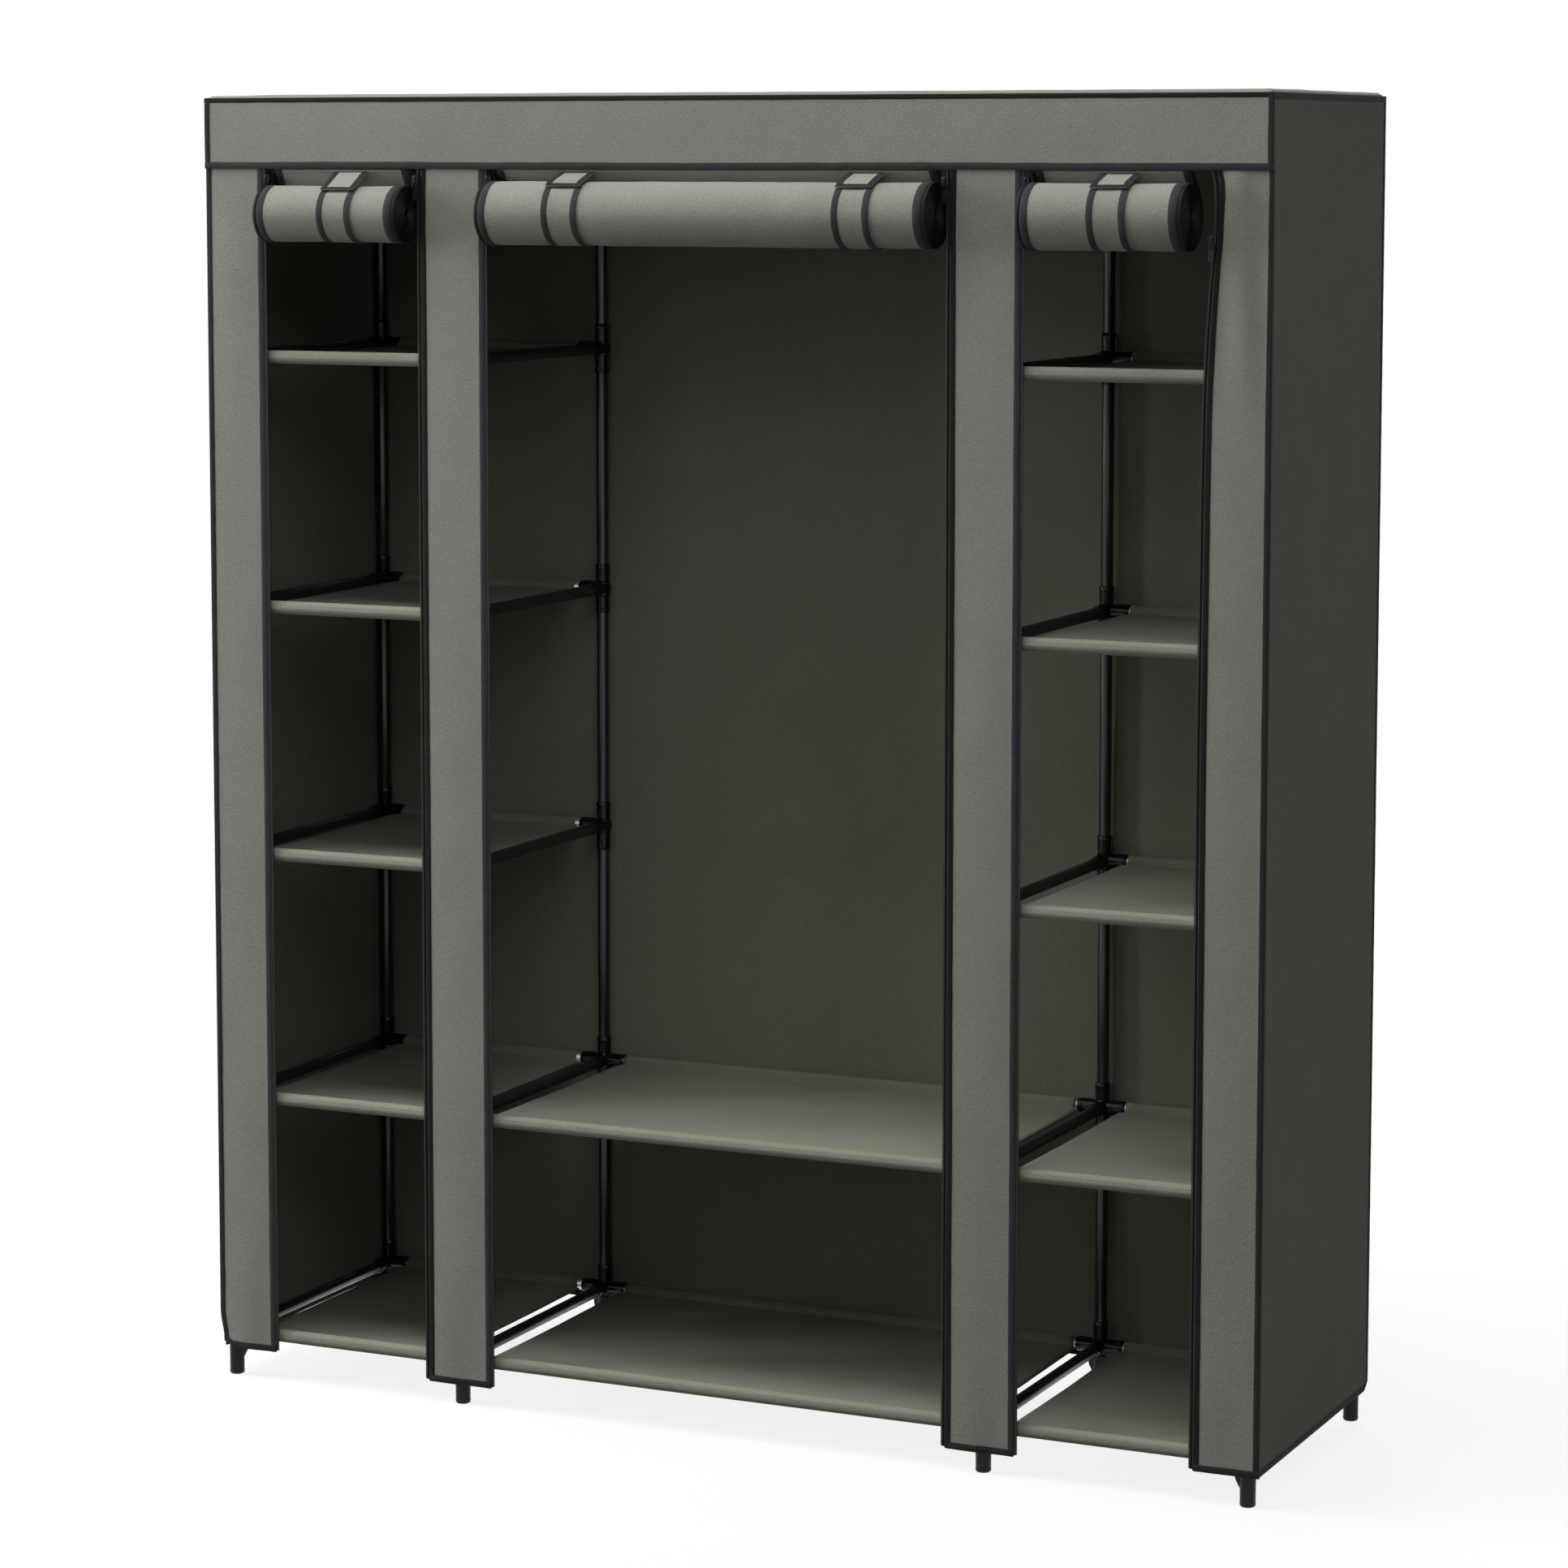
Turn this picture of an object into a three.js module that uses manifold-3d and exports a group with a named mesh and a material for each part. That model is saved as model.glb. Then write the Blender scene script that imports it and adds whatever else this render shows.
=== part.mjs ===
// Fabric wardrobe with three bays and three roll-up doors.
// A frame of black tubes and plastic connectors stands on eight feet, carries twelve cloth shelves
// on tubes sewn into sleeves, and wears a loose cover of cloth with bound edges.
// Millimetres, +Z up. The front faces -Y, and +X is to the viewer's right.
import * as THREE from 'three';
import { mergeVertices } from 'three/addons/utils/BufferGeometryUtils.js';
import Module from 'manifold-3d';

// Tube frame, placed from the cover's corners and the inner front strips
const OUTER_UPRIGHT_INSET = 18.5;
const INNER_UPRIGHT_OFFSET = 1.9;
const UPRIGHT_Y = 211.5;
const TOP_LEVEL_DROP = 7.4;
const LOWEST_LEVEL = 61;
const FIRST_RISE_CUT = 7;
const LEVEL_COUNT = 6;
const MIDDLE_SHELF_COUNT = 2;
const TUBE_RADIUS = 8;
const TUBE_SIDES = 8;

// Plastic connectors and feet
const CONNECTOR_RADIUS = 9.5;
const ARM_REACH = 34;
const SOCKET_DEPTH = 20;
const SOCKET_CLEARANCE = 0.35;
const END_GAP = 0.3;
const FOOT_TIP_RADIUS = 7.5;
const FOOT_RIM_HEIGHT = 2;
const GUSSET_DROP = 18;
const GUSSET_REACH = 27;
const GUSSET_THICKNESS = 5;

// Hanging rod of the middle bay and its brackets
const ROD_DROP = 47;
const BRACKET_COLLAR_LENGTH = 28;
const BRACKET_WEB_WIDTH = 14;
const BRACKET_WEB_THICKNESS = 8;
const ROD_SOCKET_REACH = 28;
const ROD_SOCKET_RADIUS = 10.2;

// Cloth, binding tape and the gaps between sewn pieces
const CLOTH = 1.2;
const TAPE_WIDTH = 7.6;
const TAPE_THICKNESS = 2.4;
const SEAM_GAP = 0.3;

// Shelves
const SHELF_SIDE_GAP = 25;
const SLEEVE_SIDE_GAP = 36;
const SLEEVE_RADIUS = 9.2;
const SHELF_NOTCH = 14;
const SHELF_DROP = 11;
const SHELF_SAG = 1.5;
const SAG_SHARES = [-1, -0.45, 0.45, 1];

// Cover
const COVER_HALF_WIDTH = 750;
const STRIP_STAND_OFF = 11.5;
const HEADER_LAP = 2.2;
const BACK_STAND_OFF = 12.9;
const REAR_SEAM_FIN = 4;
const COVER_RIM_Z = 1746.4;
const HEADER_HEIGHT = 93.6;
const SIDE_HEM_Z = 40.5;
const OUTER_STRIP_HEM_Z = 40;
const INNER_STRIP_HEM_Z = 28;
const STRIP_TUCK = 15;
const TOP_BEVEL = 2.8;
const TOP_SAG = 4;
const TOP_ROW_SHARES = [0.25, 0.5, 0.75];

// Front strips and outer doorways, and how far the right strip is pulled aside at its top.
// The middle doorway has the width that is left.
const OUTER_STRIP_WIDTH = 93;
const OUTER_DOORWAY_WIDTH = 229;
const INNER_STRIP_WIDTH = 105;
const RIGHT_STRIP_PULL = 17;

// Zips
const BEAD_WIDTH = 2.4;
const BEAD_THICKNESS = 2.2;
const BEAD_PLAY = 0.35;
const SLIDER_WIDTH = 11;
const SLIDER_LENGTH = 14;
const SLIDER_WALL = 1.2;
const SLIDER_LIP = 1.5;
const SLIDER_POST = 1.5;
const SLIDER_TAPER = 0.9;
const SLIDER_SHOULDER = 2;
const SLIDER_HEADER_GAP = 7.8;
const LOWERED_SLIDER_DROP = 77.8;
const BRIDGE_LENGTH = 11;
const BRIDGE_WIDTH = 2.4;
const BRIDGE_WALL = 0.9;
const BRIDGE_LEG = 1.2;
const BRIDGE_CLEAR = 2.2;
const PULL_THICKNESS = 1.2;
const PULL_WIDTH = 7;
const PULL_EYE_WIDTH = 6;
const PULL_LENGTH = 24;
const PULL_WINDOW_LENGTH = 6;
const PULL_WINDOW_WIDTH = 3.4;
const PULL_CORNER = 1.6;
const PULL_PLAY = 0.3;

// Rolled doors
const DOOR_FLOOR_GAP = 52.8;
const DOOR_SIDE_GAP = 7.5;
const DOOR_HINGE_DROP = 0.8;
const DOOR_TOP_RISE = 0.4;
const ROLL_FORWARD = 12;
const LEFT_ROLL_RADIUS = 39;
const LEFT_ROLL_DROP = 58.8;
const WIDE_ROLL_RADIUS = 43.5;
const WIDE_ROLL_DROP = 55.8;
const ROLL_CORE_RADIUS = 5;
const STEPS_PER_TURN = 16;
const CORE_STEPS_PER_TURN = 8;
const CORE_TURNS_RADIUS = 20;

// Straps that hold the rolls up, and the tabs that close over them
const STRAP_WIDTH = 51;
const STRAP_THICKNESS = 1.5;
const STRAP_GAP = 0.3;
const STRAP_START = 6;
const STRAP_STEPS = 12;
const TAB_THICKNESS = 2.4;
const TAB_LENGTH = 42;
const TAB_BACK_OFFSET = 1.5;
const TAB_DROP = 4.5;
const TAB_REFERENCE_TURNS = 0.6;
const TAB_ARC_STEPS = 3;

// Places of the straps as shares of a roll's half width, from its middle to its right end
const LEFT_STRAP_SHARE = 0.145;
const MIDDLE_LEFT_STRAP_SHARE = -0.6086;
const MIDDLE_RIGHT_STRAP_SHARE = 0.6815;
const RIGHT_STRAP_SHARE = 0.098;

// How far a cutting solid runs past the face that it cuts, and the distance that welds vertices
const OVERRUN = 1;
const WELD = 0.0001;

const COLOURS = {
  tube: { color: 0x1b1b1d, roughness: 0.35, metalness: 0.5 },
  connector: { color: 0x141416, roughness: 0.3, metalness: 0 },
  cover: { color: 0x7f8279, roughness: 0.95, metalness: 0 },
  shelf: { color: 0x767970, roughness: 0.95, metalness: 0 },
  door: { color: 0x84877e, roughness: 0.95, metalness: 0 },
  binding: { color: 0x303032, roughness: 0.9, metalness: 0 },
  zip: { color: 0x121213, roughness: 0.4, metalness: 0.2 },
};

const wasm = await Module();
wasm.setup();

const outerStripEdge = COVER_HALF_WIDTH - OUTER_STRIP_WIDTH;
const innerStripOuterEdge = outerStripEdge - OUTER_DOORWAY_WIDTH;
const innerStripInnerEdge = innerStripOuterEdge - INNER_STRIP_WIDTH;
const outerUprightX = COVER_HALF_WIDTH - OUTER_UPRIGHT_INSET;
const innerUprightX = (innerStripOuterEdge + innerStripInnerEdge) / 2 + INNER_UPRIGHT_OFFSET;
const stripPlaneY = -UPRIGHT_Y - STRIP_STAND_OFF;
const headerPlaneY = stripPlaneY - HEADER_LAP;
const backPlaneY = UPRIGHT_Y + BACK_STAND_OFF;
const headerHemZ = COVER_RIM_Z - HEADER_HEIGHT;

// The rises above the first are equal, and the first is a little less.
const topLevel = COVER_RIM_Z - TOP_LEVEL_DROP;
const rise = (topLevel - LOWEST_LEVEL + FIRST_RISE_CUT) / (LEVEL_COUNT - 1);
const levels = [LOWEST_LEVEL];
for (let level = 1; level < LEVEL_COUNT; level += 1) {
  levels.push(LOWEST_LEVEL - FIRST_RISE_CUT + rise * level);
}

const parts = new THREE.Group();

function addPart(name, geometry, finish) {
  geometry.computeVertexNormals();
  const mesh = new THREE.Mesh(geometry, new THREE.MeshStandardMaterial(COLOURS[finish]));
  mesh.name = name;
  parts.add(mesh);
  return mesh;
}

// Booleans

function toSolid(geometry) {
  const bare = geometry.clone();
  bare.deleteAttribute('normal');
  bare.deleteAttribute('uv');
  const welded = mergeVertices(bare, WELD);
  const vertProperties = new Float32Array(welded.attributes.position.array);
  const triVerts = new Uint32Array(welded.index.array);
  return new wasm.Manifold(new wasm.Mesh({ numProp: 3, vertProperties, triVerts }));
}

function toGeometry(solid) {
  const mesh = solid.getMesh();
  const geometry = new THREE.BufferGeometry();
  geometry.setAttribute('position', new THREE.BufferAttribute(mesh.vertProperties, 3));
  geometry.setIndex(new THREE.BufferAttribute(mesh.triVerts, 1));
  return geometry;
}

function build(added, removed = []) {
  let solid = toSolid(added[0]);
  for (const geometry of added.slice(1)) {
    solid = solid.add(toSolid(geometry));
  }
  for (const geometry of removed) {
    solid = solid.subtract(toSolid(geometry));
  }
  return toGeometry(solid);
}

// Shapes

function block(x0, x1, y0, y1, z0, z1) {
  const geometry = new THREE.BoxGeometry(Math.abs(x1 - x0), Math.abs(y1 - y0), Math.abs(z1 - z0));
  return geometry.translate((x0 + x1) / 2, (y0 + y1) / 2, (z0 + z1) / 2);
}

// A many-sided bar with flat sides up, down, left and right, standing on z0.
function barZ(x, y, z0, z1, radius, endRadius = radius) {
  const height = Math.abs(z1 - z0);
  const geometry = new THREE.CylinderGeometry(endRadius, radius, height, TUBE_SIDES);
  geometry.rotateY(Math.PI / TUBE_SIDES);
  geometry.rotateX(Math.PI / 2);
  return geometry.translate(x, y, (z0 + z1) / 2);
}

function barY(x, y0, y1, z, radius) {
  const geometry = new THREE.CylinderGeometry(radius, radius, Math.abs(y1 - y0), TUBE_SIDES);
  geometry.rotateY(Math.PI / TUBE_SIDES);
  return geometry.translate(x, (y0 + y1) / 2, z);
}

function barX(x0, x1, y, z, radius) {
  const geometry = new THREE.CylinderGeometry(radius, radius, Math.abs(x1 - x0), TUBE_SIDES);
  geometry.rotateY(Math.PI / TUBE_SIDES);
  geometry.rotateZ(Math.PI / 2);
  return geometry.translate((x0 + x1) / 2, y, z);
}

function toShape(points) {
  return new THREE.Shape(points.map(([a, b]) => new THREE.Vector2(a, b)));
}

// An outline drawn in X and Z, as thick as given and centred on the plane y.
function sheetXZ(points, y, thickness, holes = []) {
  const shape = toShape(points);
  for (const hole of holes) {
    shape.holes.push(toShape(hole));
  }
  const geometry = new THREE.ExtrudeGeometry(shape, { depth: thickness, bevelEnabled: false });
  geometry.rotateX(Math.PI / 2);
  return geometry.translate(0, y + thickness / 2, 0);
}

// An outline drawn in Y and Z, run from x0 to x1.
function sheetYZ(points, x0, x1) {
  const depth = x1 - x0;
  const geometry = new THREE.ExtrudeGeometry(toShape(points), { depth, bevelEnabled: false });
  const axes = new THREE.Matrix4().makeBasis(
    new THREE.Vector3(0, 1, 0),
    new THREE.Vector3(0, 0, 1),
    new THREE.Vector3(1, 0, 0),
  );
  return geometry.applyMatrix4(axes).translate(x0, 0, 0);
}

function rectangle(a0, a1, b0, b1) {
  return [[a0, b0], [a1, b0], [a1, b1], [a0, b1]];
}

// A thin plate over a grid, whose underside follows a height function.
function plate(xs, ys, height, thickness) {
  const positions = [];
  const indices = [];
  const rows = ys.length;
  const layer = xs.length * rows;
  for (const lift of [0, thickness]) {
    for (const x of xs) {
      for (const y of ys) {
        positions.push(x, y, height(x, y) + lift);
      }
    }
  }
  const at = (i, j, top) => top * layer + i * rows + j;
  const quad = (a, b, c, d) => indices.push(a, b, c, a, c, d);
  for (let i = 0; i + 1 < xs.length; i += 1) {
    for (let j = 0; j + 1 < rows; j += 1) {
      quad(at(i, j, 1), at(i + 1, j, 1), at(i + 1, j + 1, 1), at(i, j + 1, 1));
      quad(at(i, j, 0), at(i, j + 1, 0), at(i + 1, j + 1, 0), at(i + 1, j, 0));
    }
    quad(at(i, 0, 0), at(i + 1, 0, 0), at(i + 1, 0, 1), at(i, 0, 1));
    quad(at(i + 1, rows - 1, 0), at(i, rows - 1, 0), at(i, rows - 1, 1), at(i + 1, rows - 1, 1));
  }
  const last = xs.length - 1;
  for (let j = 0; j + 1 < rows; j += 1) {
    quad(at(0, j + 1, 0), at(0, j, 0), at(0, j, 1), at(0, j + 1, 1));
    quad(at(last, j, 0), at(last, j + 1, 0), at(last, j + 1, 1), at(last, j, 1));
  }
  const geometry = new THREE.BufferGeometry();
  geometry.setAttribute('position', new THREE.Float32BufferAttribute(positions, 3));
  geometry.setIndex(indices);
  return geometry;
}

// Frame

// Stations run from left to right. sides lists the directions in which a station has bays.
const stations = [
  { place: 'far_left', x: -outerUprightX, sides: [1], bays: ['left'] },
  { place: 'mid_left', x: -innerUprightX, sides: [-1, 1], bays: ['left', 'middle'] },
  { place: 'mid_right', x: innerUprightX, sides: [-1, 1], bays: ['middle', 'right'] },
  { place: 'far_right', x: outerUprightX, sides: [-1], bays: ['right'] },
];

const bays = [
  { name: 'left', x0: -outerUprightX, x1: -innerUprightX, shelves: LEVEL_COUNT - 1 },
  { name: 'middle', x0: -innerUprightX, x1: innerUprightX, shelves: MIDDLE_SHELF_COUNT },
  { name: 'right', x0: innerUprightX, x1: outerUprightX, shelves: LEVEL_COUNT - 1 },
];

const boreRadius = TUBE_RADIUS + SOCKET_CLEARANCE;
const socketFloor = ARM_REACH - SOCKET_DEPTH;

// A level is tied to a bay by its shelf tubes, and the top level by the top rails.
function bayUsesLevel(bayName, level) {
  const bay = bays.find((one) => one.name === bayName);
  return level === LEVEL_COUNT - 1 || level < bay.shelves;
}

// The socket arms of one connector, towards each bay that has tubes at its level.
function socketArms(station, y, level) {
  const arms = [];
  const bores = [];
  const z = levels[level];
  station.sides.forEach((side, index) => {
    if (!bayUsesLevel(station.bays[index], level)) {
      return;
    }
    const mouth = station.x + side * ARM_REACH;
    arms.push(barX(station.x, mouth, y, z, CONNECTOR_RADIUS));
    bores.push(barX(station.x + side * socketFloor, mouth + side * OVERRUN, y, z, boreRadius));
  });
  return { arms, bores };
}

// Two feet, the lowest connectors with their gussets, and the lowest depth rail.
function baseFrame(station) {
  const added = [barY(station.x, -UPRIGHT_Y, UPRIGHT_Y, LOWEST_LEVEL, TUBE_RADIUS)];
  const removed = [];
  const mouthZ = LOWEST_LEVEL + ARM_REACH;
  const gussetTop = LOWEST_LEVEL;
  const gussetBottom = LOWEST_LEVEL - CONNECTOR_RADIUS - GUSSET_DROP;
  for (const end of [-1, 1]) {
    const y = end * UPRIGHT_Y;
    added.push(barZ(station.x, y, 0, FOOT_RIM_HEIGHT, FOOT_TIP_RADIUS, CONNECTOR_RADIUS));
    added.push(barZ(station.x, y, FOOT_RIM_HEIGHT, mouthZ, CONNECTOR_RADIUS));
    added.push(barY(station.x, y, y - end * ARM_REACH, LOWEST_LEVEL, CONNECTOR_RADIUS));
    removed.push(barZ(station.x, y, mouthZ - SOCKET_DEPTH, mouthZ + OVERRUN, boreRadius));
    for (const side of station.sides) {
      const web = [
        [station.x, gussetBottom],
        [station.x + side * GUSSET_REACH, LOWEST_LEVEL - CONNECTOR_RADIUS],
        [station.x + side * GUSSET_REACH, gussetTop],
        [station.x, gussetTop],
      ];
      added.push(sheetXZ(side > 0 ? web : web.reverse(), y, GUSSET_THICKNESS));
    }
    const { arms, bores } = socketArms(station, y, 0);
    added.push(...arms);
    removed.push(...bores);
  }
  return build(added, removed);
}

// A bracket hangs under the top depth rail and holds one end of the hanging rod.
const rodZ = topLevel - ROD_DROP;

function rodBracket(station) {
  const inward = -Math.sign(station.x);
  const mouth = station.x + inward * ROD_SOCKET_REACH;
  const halfWeb = BRACKET_WEB_THICKNESS / 2;
  const halfWidth = BRACKET_WEB_WIDTH / 2;
  const halfCollar = BRACKET_COLLAR_LENGTH / 2;
  const added = [
    barY(station.x, -halfCollar, halfCollar, topLevel, CONNECTOR_RADIUS),
    block(station.x - halfWeb, station.x + halfWeb, -halfWidth, halfWidth, rodZ, topLevel),
    barX(station.x - inward * halfWeb, mouth, 0, rodZ, ROD_SOCKET_RADIUS),
  ];
  const floor = mouth - inward * SOCKET_DEPTH;
  return { added, removed: [barX(floor, mouth + inward * OVERRUN, 0, rodZ, boreRadius)] };
}

// Front and rear uprights with their connectors, joined by the depth rails above the base.
function sideFrame(station) {
  const added = [];
  const removed = [];
  const footZ = LOWEST_LEVEL + socketFloor + END_GAP;
  for (const end of [-1, 1]) {
    const y = end * UPRIGHT_Y;
    added.push(barZ(station.x, y, footZ, topLevel, TUBE_RADIUS));
    for (let level = 1; level < LEVEL_COUNT; level += 1) {
      const z = levels[level];
      const isTop = level === LEVEL_COUNT - 1;
      const sleeveTop = z + (isTop ? CONNECTOR_RADIUS : ARM_REACH);
      added.push(barZ(station.x, y, z - ARM_REACH, sleeveTop, CONNECTOR_RADIUS));
      added.push(barY(station.x, y, y - end * ARM_REACH, z, CONNECTOR_RADIUS));
      const { arms, bores } = socketArms(station, y, level);
      added.push(...arms);
      removed.push(...bores);
    }
  }
  for (let level = 1; level < LEVEL_COUNT; level += 1) {
    added.push(barY(station.x, -UPRIGHT_Y, UPRIGHT_Y, levels[level], TUBE_RADIUS));
  }
  if (station.bays.includes('middle')) {
    const bracket = rodBracket(station);
    added.push(...bracket.added);
    removed.push(...bracket.removed);
  }
  return build(added, removed);
}

for (const station of stations) {
  addPart(`base_frame_${station.place}`, baseFrame(station), 'connector');
  addPart(`side_frame_${station.place}`, sideFrame(station), 'tube');
}

const tubeEnd = socketFloor + END_GAP;

for (const bay of bays) {
  for (const [end, y] of [['front', -UPRIGHT_Y], ['rear', UPRIGHT_Y]]) {
    const rail = barX(bay.x0 + tubeEnd, bay.x1 - tubeEnd, y, topLevel, TUBE_RADIUS);
    addPart(`top_rail_${bay.name}_${end}`, rail, 'tube');
  }
}

const rodEndX = innerUprightX - (ROD_SOCKET_REACH - SOCKET_DEPTH) - END_GAP;
addPart('hanging_rod', barX(-rodEndX, rodEndX, 0, rodZ, TUBE_RADIUS), 'tube');

// Shelves

// Cloth that sags a little between the tubes, notched at its corners round the connectors,
// with a sleeve along each long edge and a tube in each sleeve. The cloth is sewn to the sleeves
// just under their middles, so both sleeves stand over it.
function shelf(bay, z) {
  const topAtTube = z + SLEEVE_RADIUS - SHELF_DROP;
  const sagAt = (share) => SHELF_SAG * (1 - share * share);
  const curve = SAG_SHARES.map((share) => [share * UPRIGHT_Y, topAtTube - sagAt(share)]);
  const underside = curve.map(([y, height]) => [y, height - CLOTH]);
  const clothX0 = bay.x0 + SHELF_SIDE_GAP;
  const clothX1 = bay.x1 - SHELF_SIDE_GAP;
  const sleeveX0 = bay.x0 + SLEEVE_SIDE_GAP;
  const sleeveX1 = bay.x1 - SLEEVE_SIDE_GAP;
  const cloth = sheetYZ([...underside, ...curve.reverse()], clothX0, clothX1);
  const notches = [];
  const tubes = [];
  for (const end of [-1, 1]) {
    const y = end * UPRIGHT_Y;
    const inner = y - end * SHELF_NOTCH;
    const outer = y + end * OVERRUN;
    const low = z - SLEEVE_RADIUS;
    const high = z + SLEEVE_RADIUS + OVERRUN;
    notches.push(block(clothX0 - OVERRUN, sleeveX0, inner, outer, low, high));
    notches.push(block(sleeveX1, clothX1 + OVERRUN, inner, outer, low, high));
    tubes.push(barX(sleeveX0, sleeveX1, y, z, SLEEVE_RADIUS));
    tubes.push(barX(bay.x0 + tubeEnd, bay.x1 - tubeEnd, y, z, TUBE_RADIUS));
  }
  const notched = build([cloth], notches);
  return build([notched, ...tubes]);
}

for (const bay of bays) {
  for (let level = 0; level < bay.shelves; level += 1) {
    addPart(`shelf_${bay.name}_${level + 1}`, shelf(bay, levels[level]), 'shelf');
  }
}

// Cover

const sidePlaneX = COVER_HALF_WIDTH - TAPE_THICKNESS / 2 - CLOTH / 2;
const sideInnerX = sidePlaneX - TAPE_THICKNESS / 2 - SEAM_GAP;
const topEdgeFront = headerPlaneY + TAPE_THICKNESS / 2 + SEAM_GAP;
const topEdgeRear = backPlaneY + CLOTH / 2;
const clothOverFrame = topLevel + CONNECTOR_RADIUS + END_GAP;
const topEdgeZ = COVER_RIM_Z - CLOTH - CLOTH / 2;

// Interleaves the places where the top cloth rests with points between them.
function withMiddles(places) {
  const all = [];
  for (let i = 0; i + 1 < places.length; i += 1) {
    all.push(places[i], (places[i] + places[i + 1]) / 2);
  }
  all.push(places[places.length - 1]);
  return all;
}

function topPanel() {
  const restX = stations.map((station) => station.x);
  const bevelX = sideInnerX - TOP_BEVEL;
  const xs = [-sideInnerX, -bevelX, ...withMiddles(restX), bevelX, sideInnerX];
  const restFront = topEdgeFront + TOP_BEVEL;
  const restRear = topEdgeRear - TOP_BEVEL;
  const span = restRear - restFront;
  const rows = TOP_ROW_SHARES.map((share) => restFront + span * share);
  const ys = [topEdgeFront, restFront, ...rows, restRear, topEdgeRear];
  const height = (x, y) => {
    if (Math.abs(x) === sideInnerX || y === topEdgeFront || y === topEdgeRear) {
      return topEdgeZ;
    }
    const onRail = restX.includes(x) || Math.abs(x) > outerUprightX;
    const across = (y - restFront) / span;
    return clothOverFrame - (onRail ? 0 : TOP_SAG * Math.sin(Math.PI * across));
  };
  return plate(xs, ys, height, CLOTH);
}

addPart('cover_top', topPanel(), 'cover');

const backTopZ = topEdgeZ - SEAM_GAP;
const backHem = rectangle(-sideInnerX, sideInnerX, SIDE_HEM_Z, SIDE_HEM_Z + TAPE_WIDTH);
addPart('cover_back', build([
  sheetXZ(rectangle(-sideInnerX, sideInnerX, SIDE_HEM_Z, backTopZ), backPlaneY, CLOTH),
  sheetXZ(backHem, backPlaneY, TAPE_THICKNESS),
]), 'cover');

// A side panel is bound along its top, its hem and the standing seam at its rear edge.
function sidePanel(side) {
  const frontY = stripPlaneY + TAPE_THICKNESS / 2 + SEAM_GAP;
  const rearY = backPlaneY + CLOTH / 2 + REAR_SEAM_FIN;
  const x = side * sidePlaneX;
  const layer = (thickness, points) => sheetYZ(points, x - thickness / 2, x + thickness / 2);
  return build([
    layer(CLOTH, rectangle(frontY, rearY, SIDE_HEM_Z, COVER_RIM_Z)),
    layer(TAPE_THICKNESS, rectangle(frontY, rearY, SIDE_HEM_Z, SIDE_HEM_Z + TAPE_WIDTH)),
    layer(TAPE_THICKNESS, rectangle(frontY, rearY, COVER_RIM_Z - TAPE_WIDTH, COVER_RIM_Z)),
    layer(TAPE_THICKNESS, rectangle(rearY - TAPE_WIDTH, rearY, SIDE_HEM_Z, COVER_RIM_Z)),
  ]);
}

addPart('cover_left_side', sidePanel(-1), 'cover');
addPart('cover_right_side', sidePanel(1), 'cover');

function headerPanel() {
  const right = COVER_HALF_WIDTH;
  const bound = (points) => sheetXZ(points, headerPlaneY, TAPE_THICKNESS);
  return build([
    sheetXZ(rectangle(-right, right, headerHemZ, COVER_RIM_Z), headerPlaneY, CLOTH),
    bound(rectangle(-right, right, headerHemZ, headerHemZ + TAPE_WIDTH)),
    bound(rectangle(-right, right, COVER_RIM_Z - TAPE_WIDTH, COVER_RIM_Z)),
    bound(rectangle(-right, -right + TAPE_WIDTH, headerHemZ, COVER_RIM_Z)),
    bound(rectangle(right - TAPE_WIDTH, right, headerHemZ, COVER_RIM_Z)),
  ]);
}

addPart('cover_header', headerPanel(), 'cover');

// Front strips. An edge with a zip leans by its pull from the hem to the header.
const trimTopZ = headerHemZ - SEAM_GAP;
const stripTopZ = headerHemZ + STRIP_TUCK;

function edgeX(edge, z) {
  const along = (z - edge.hemZ) / (headerHemZ - edge.hemZ);
  return edge.x + edge.pull * along;
}

const strips = [
  {
    name: 'front_strip_far_left',
    hemZ: OUTER_STRIP_HEM_Z,
    left: { x: -COVER_HALF_WIDTH, pull: 0, zip: false },
    right: { x: -outerStripEdge, pull: 0, zip: true },
  },
  {
    name: 'front_strip_mid_left',
    hemZ: INNER_STRIP_HEM_Z,
    left: { x: -innerStripOuterEdge, pull: 0, zip: true },
    right: { x: -innerStripInnerEdge, pull: 0, zip: true },
  },
  {
    name: 'front_strip_mid_right',
    hemZ: INNER_STRIP_HEM_Z,
    left: { x: innerStripInnerEdge, pull: 0, zip: true },
    right: { x: innerStripOuterEdge, pull: 0, zip: true },
  },
  {
    name: 'front_strip_far_right',
    hemZ: OUTER_STRIP_HEM_Z,
    left: { x: outerStripEdge, pull: RIGHT_STRIP_PULL, zip: true },
    right: { x: COVER_HALF_WIDTH, pull: 0, zip: false },
  },
];

for (const strip of strips) {
  strip.left.hemZ = strip.hemZ;
  strip.right.hemZ = strip.hemZ;
  strip.left.inward = 1;
  strip.right.inward = -1;
}

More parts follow.
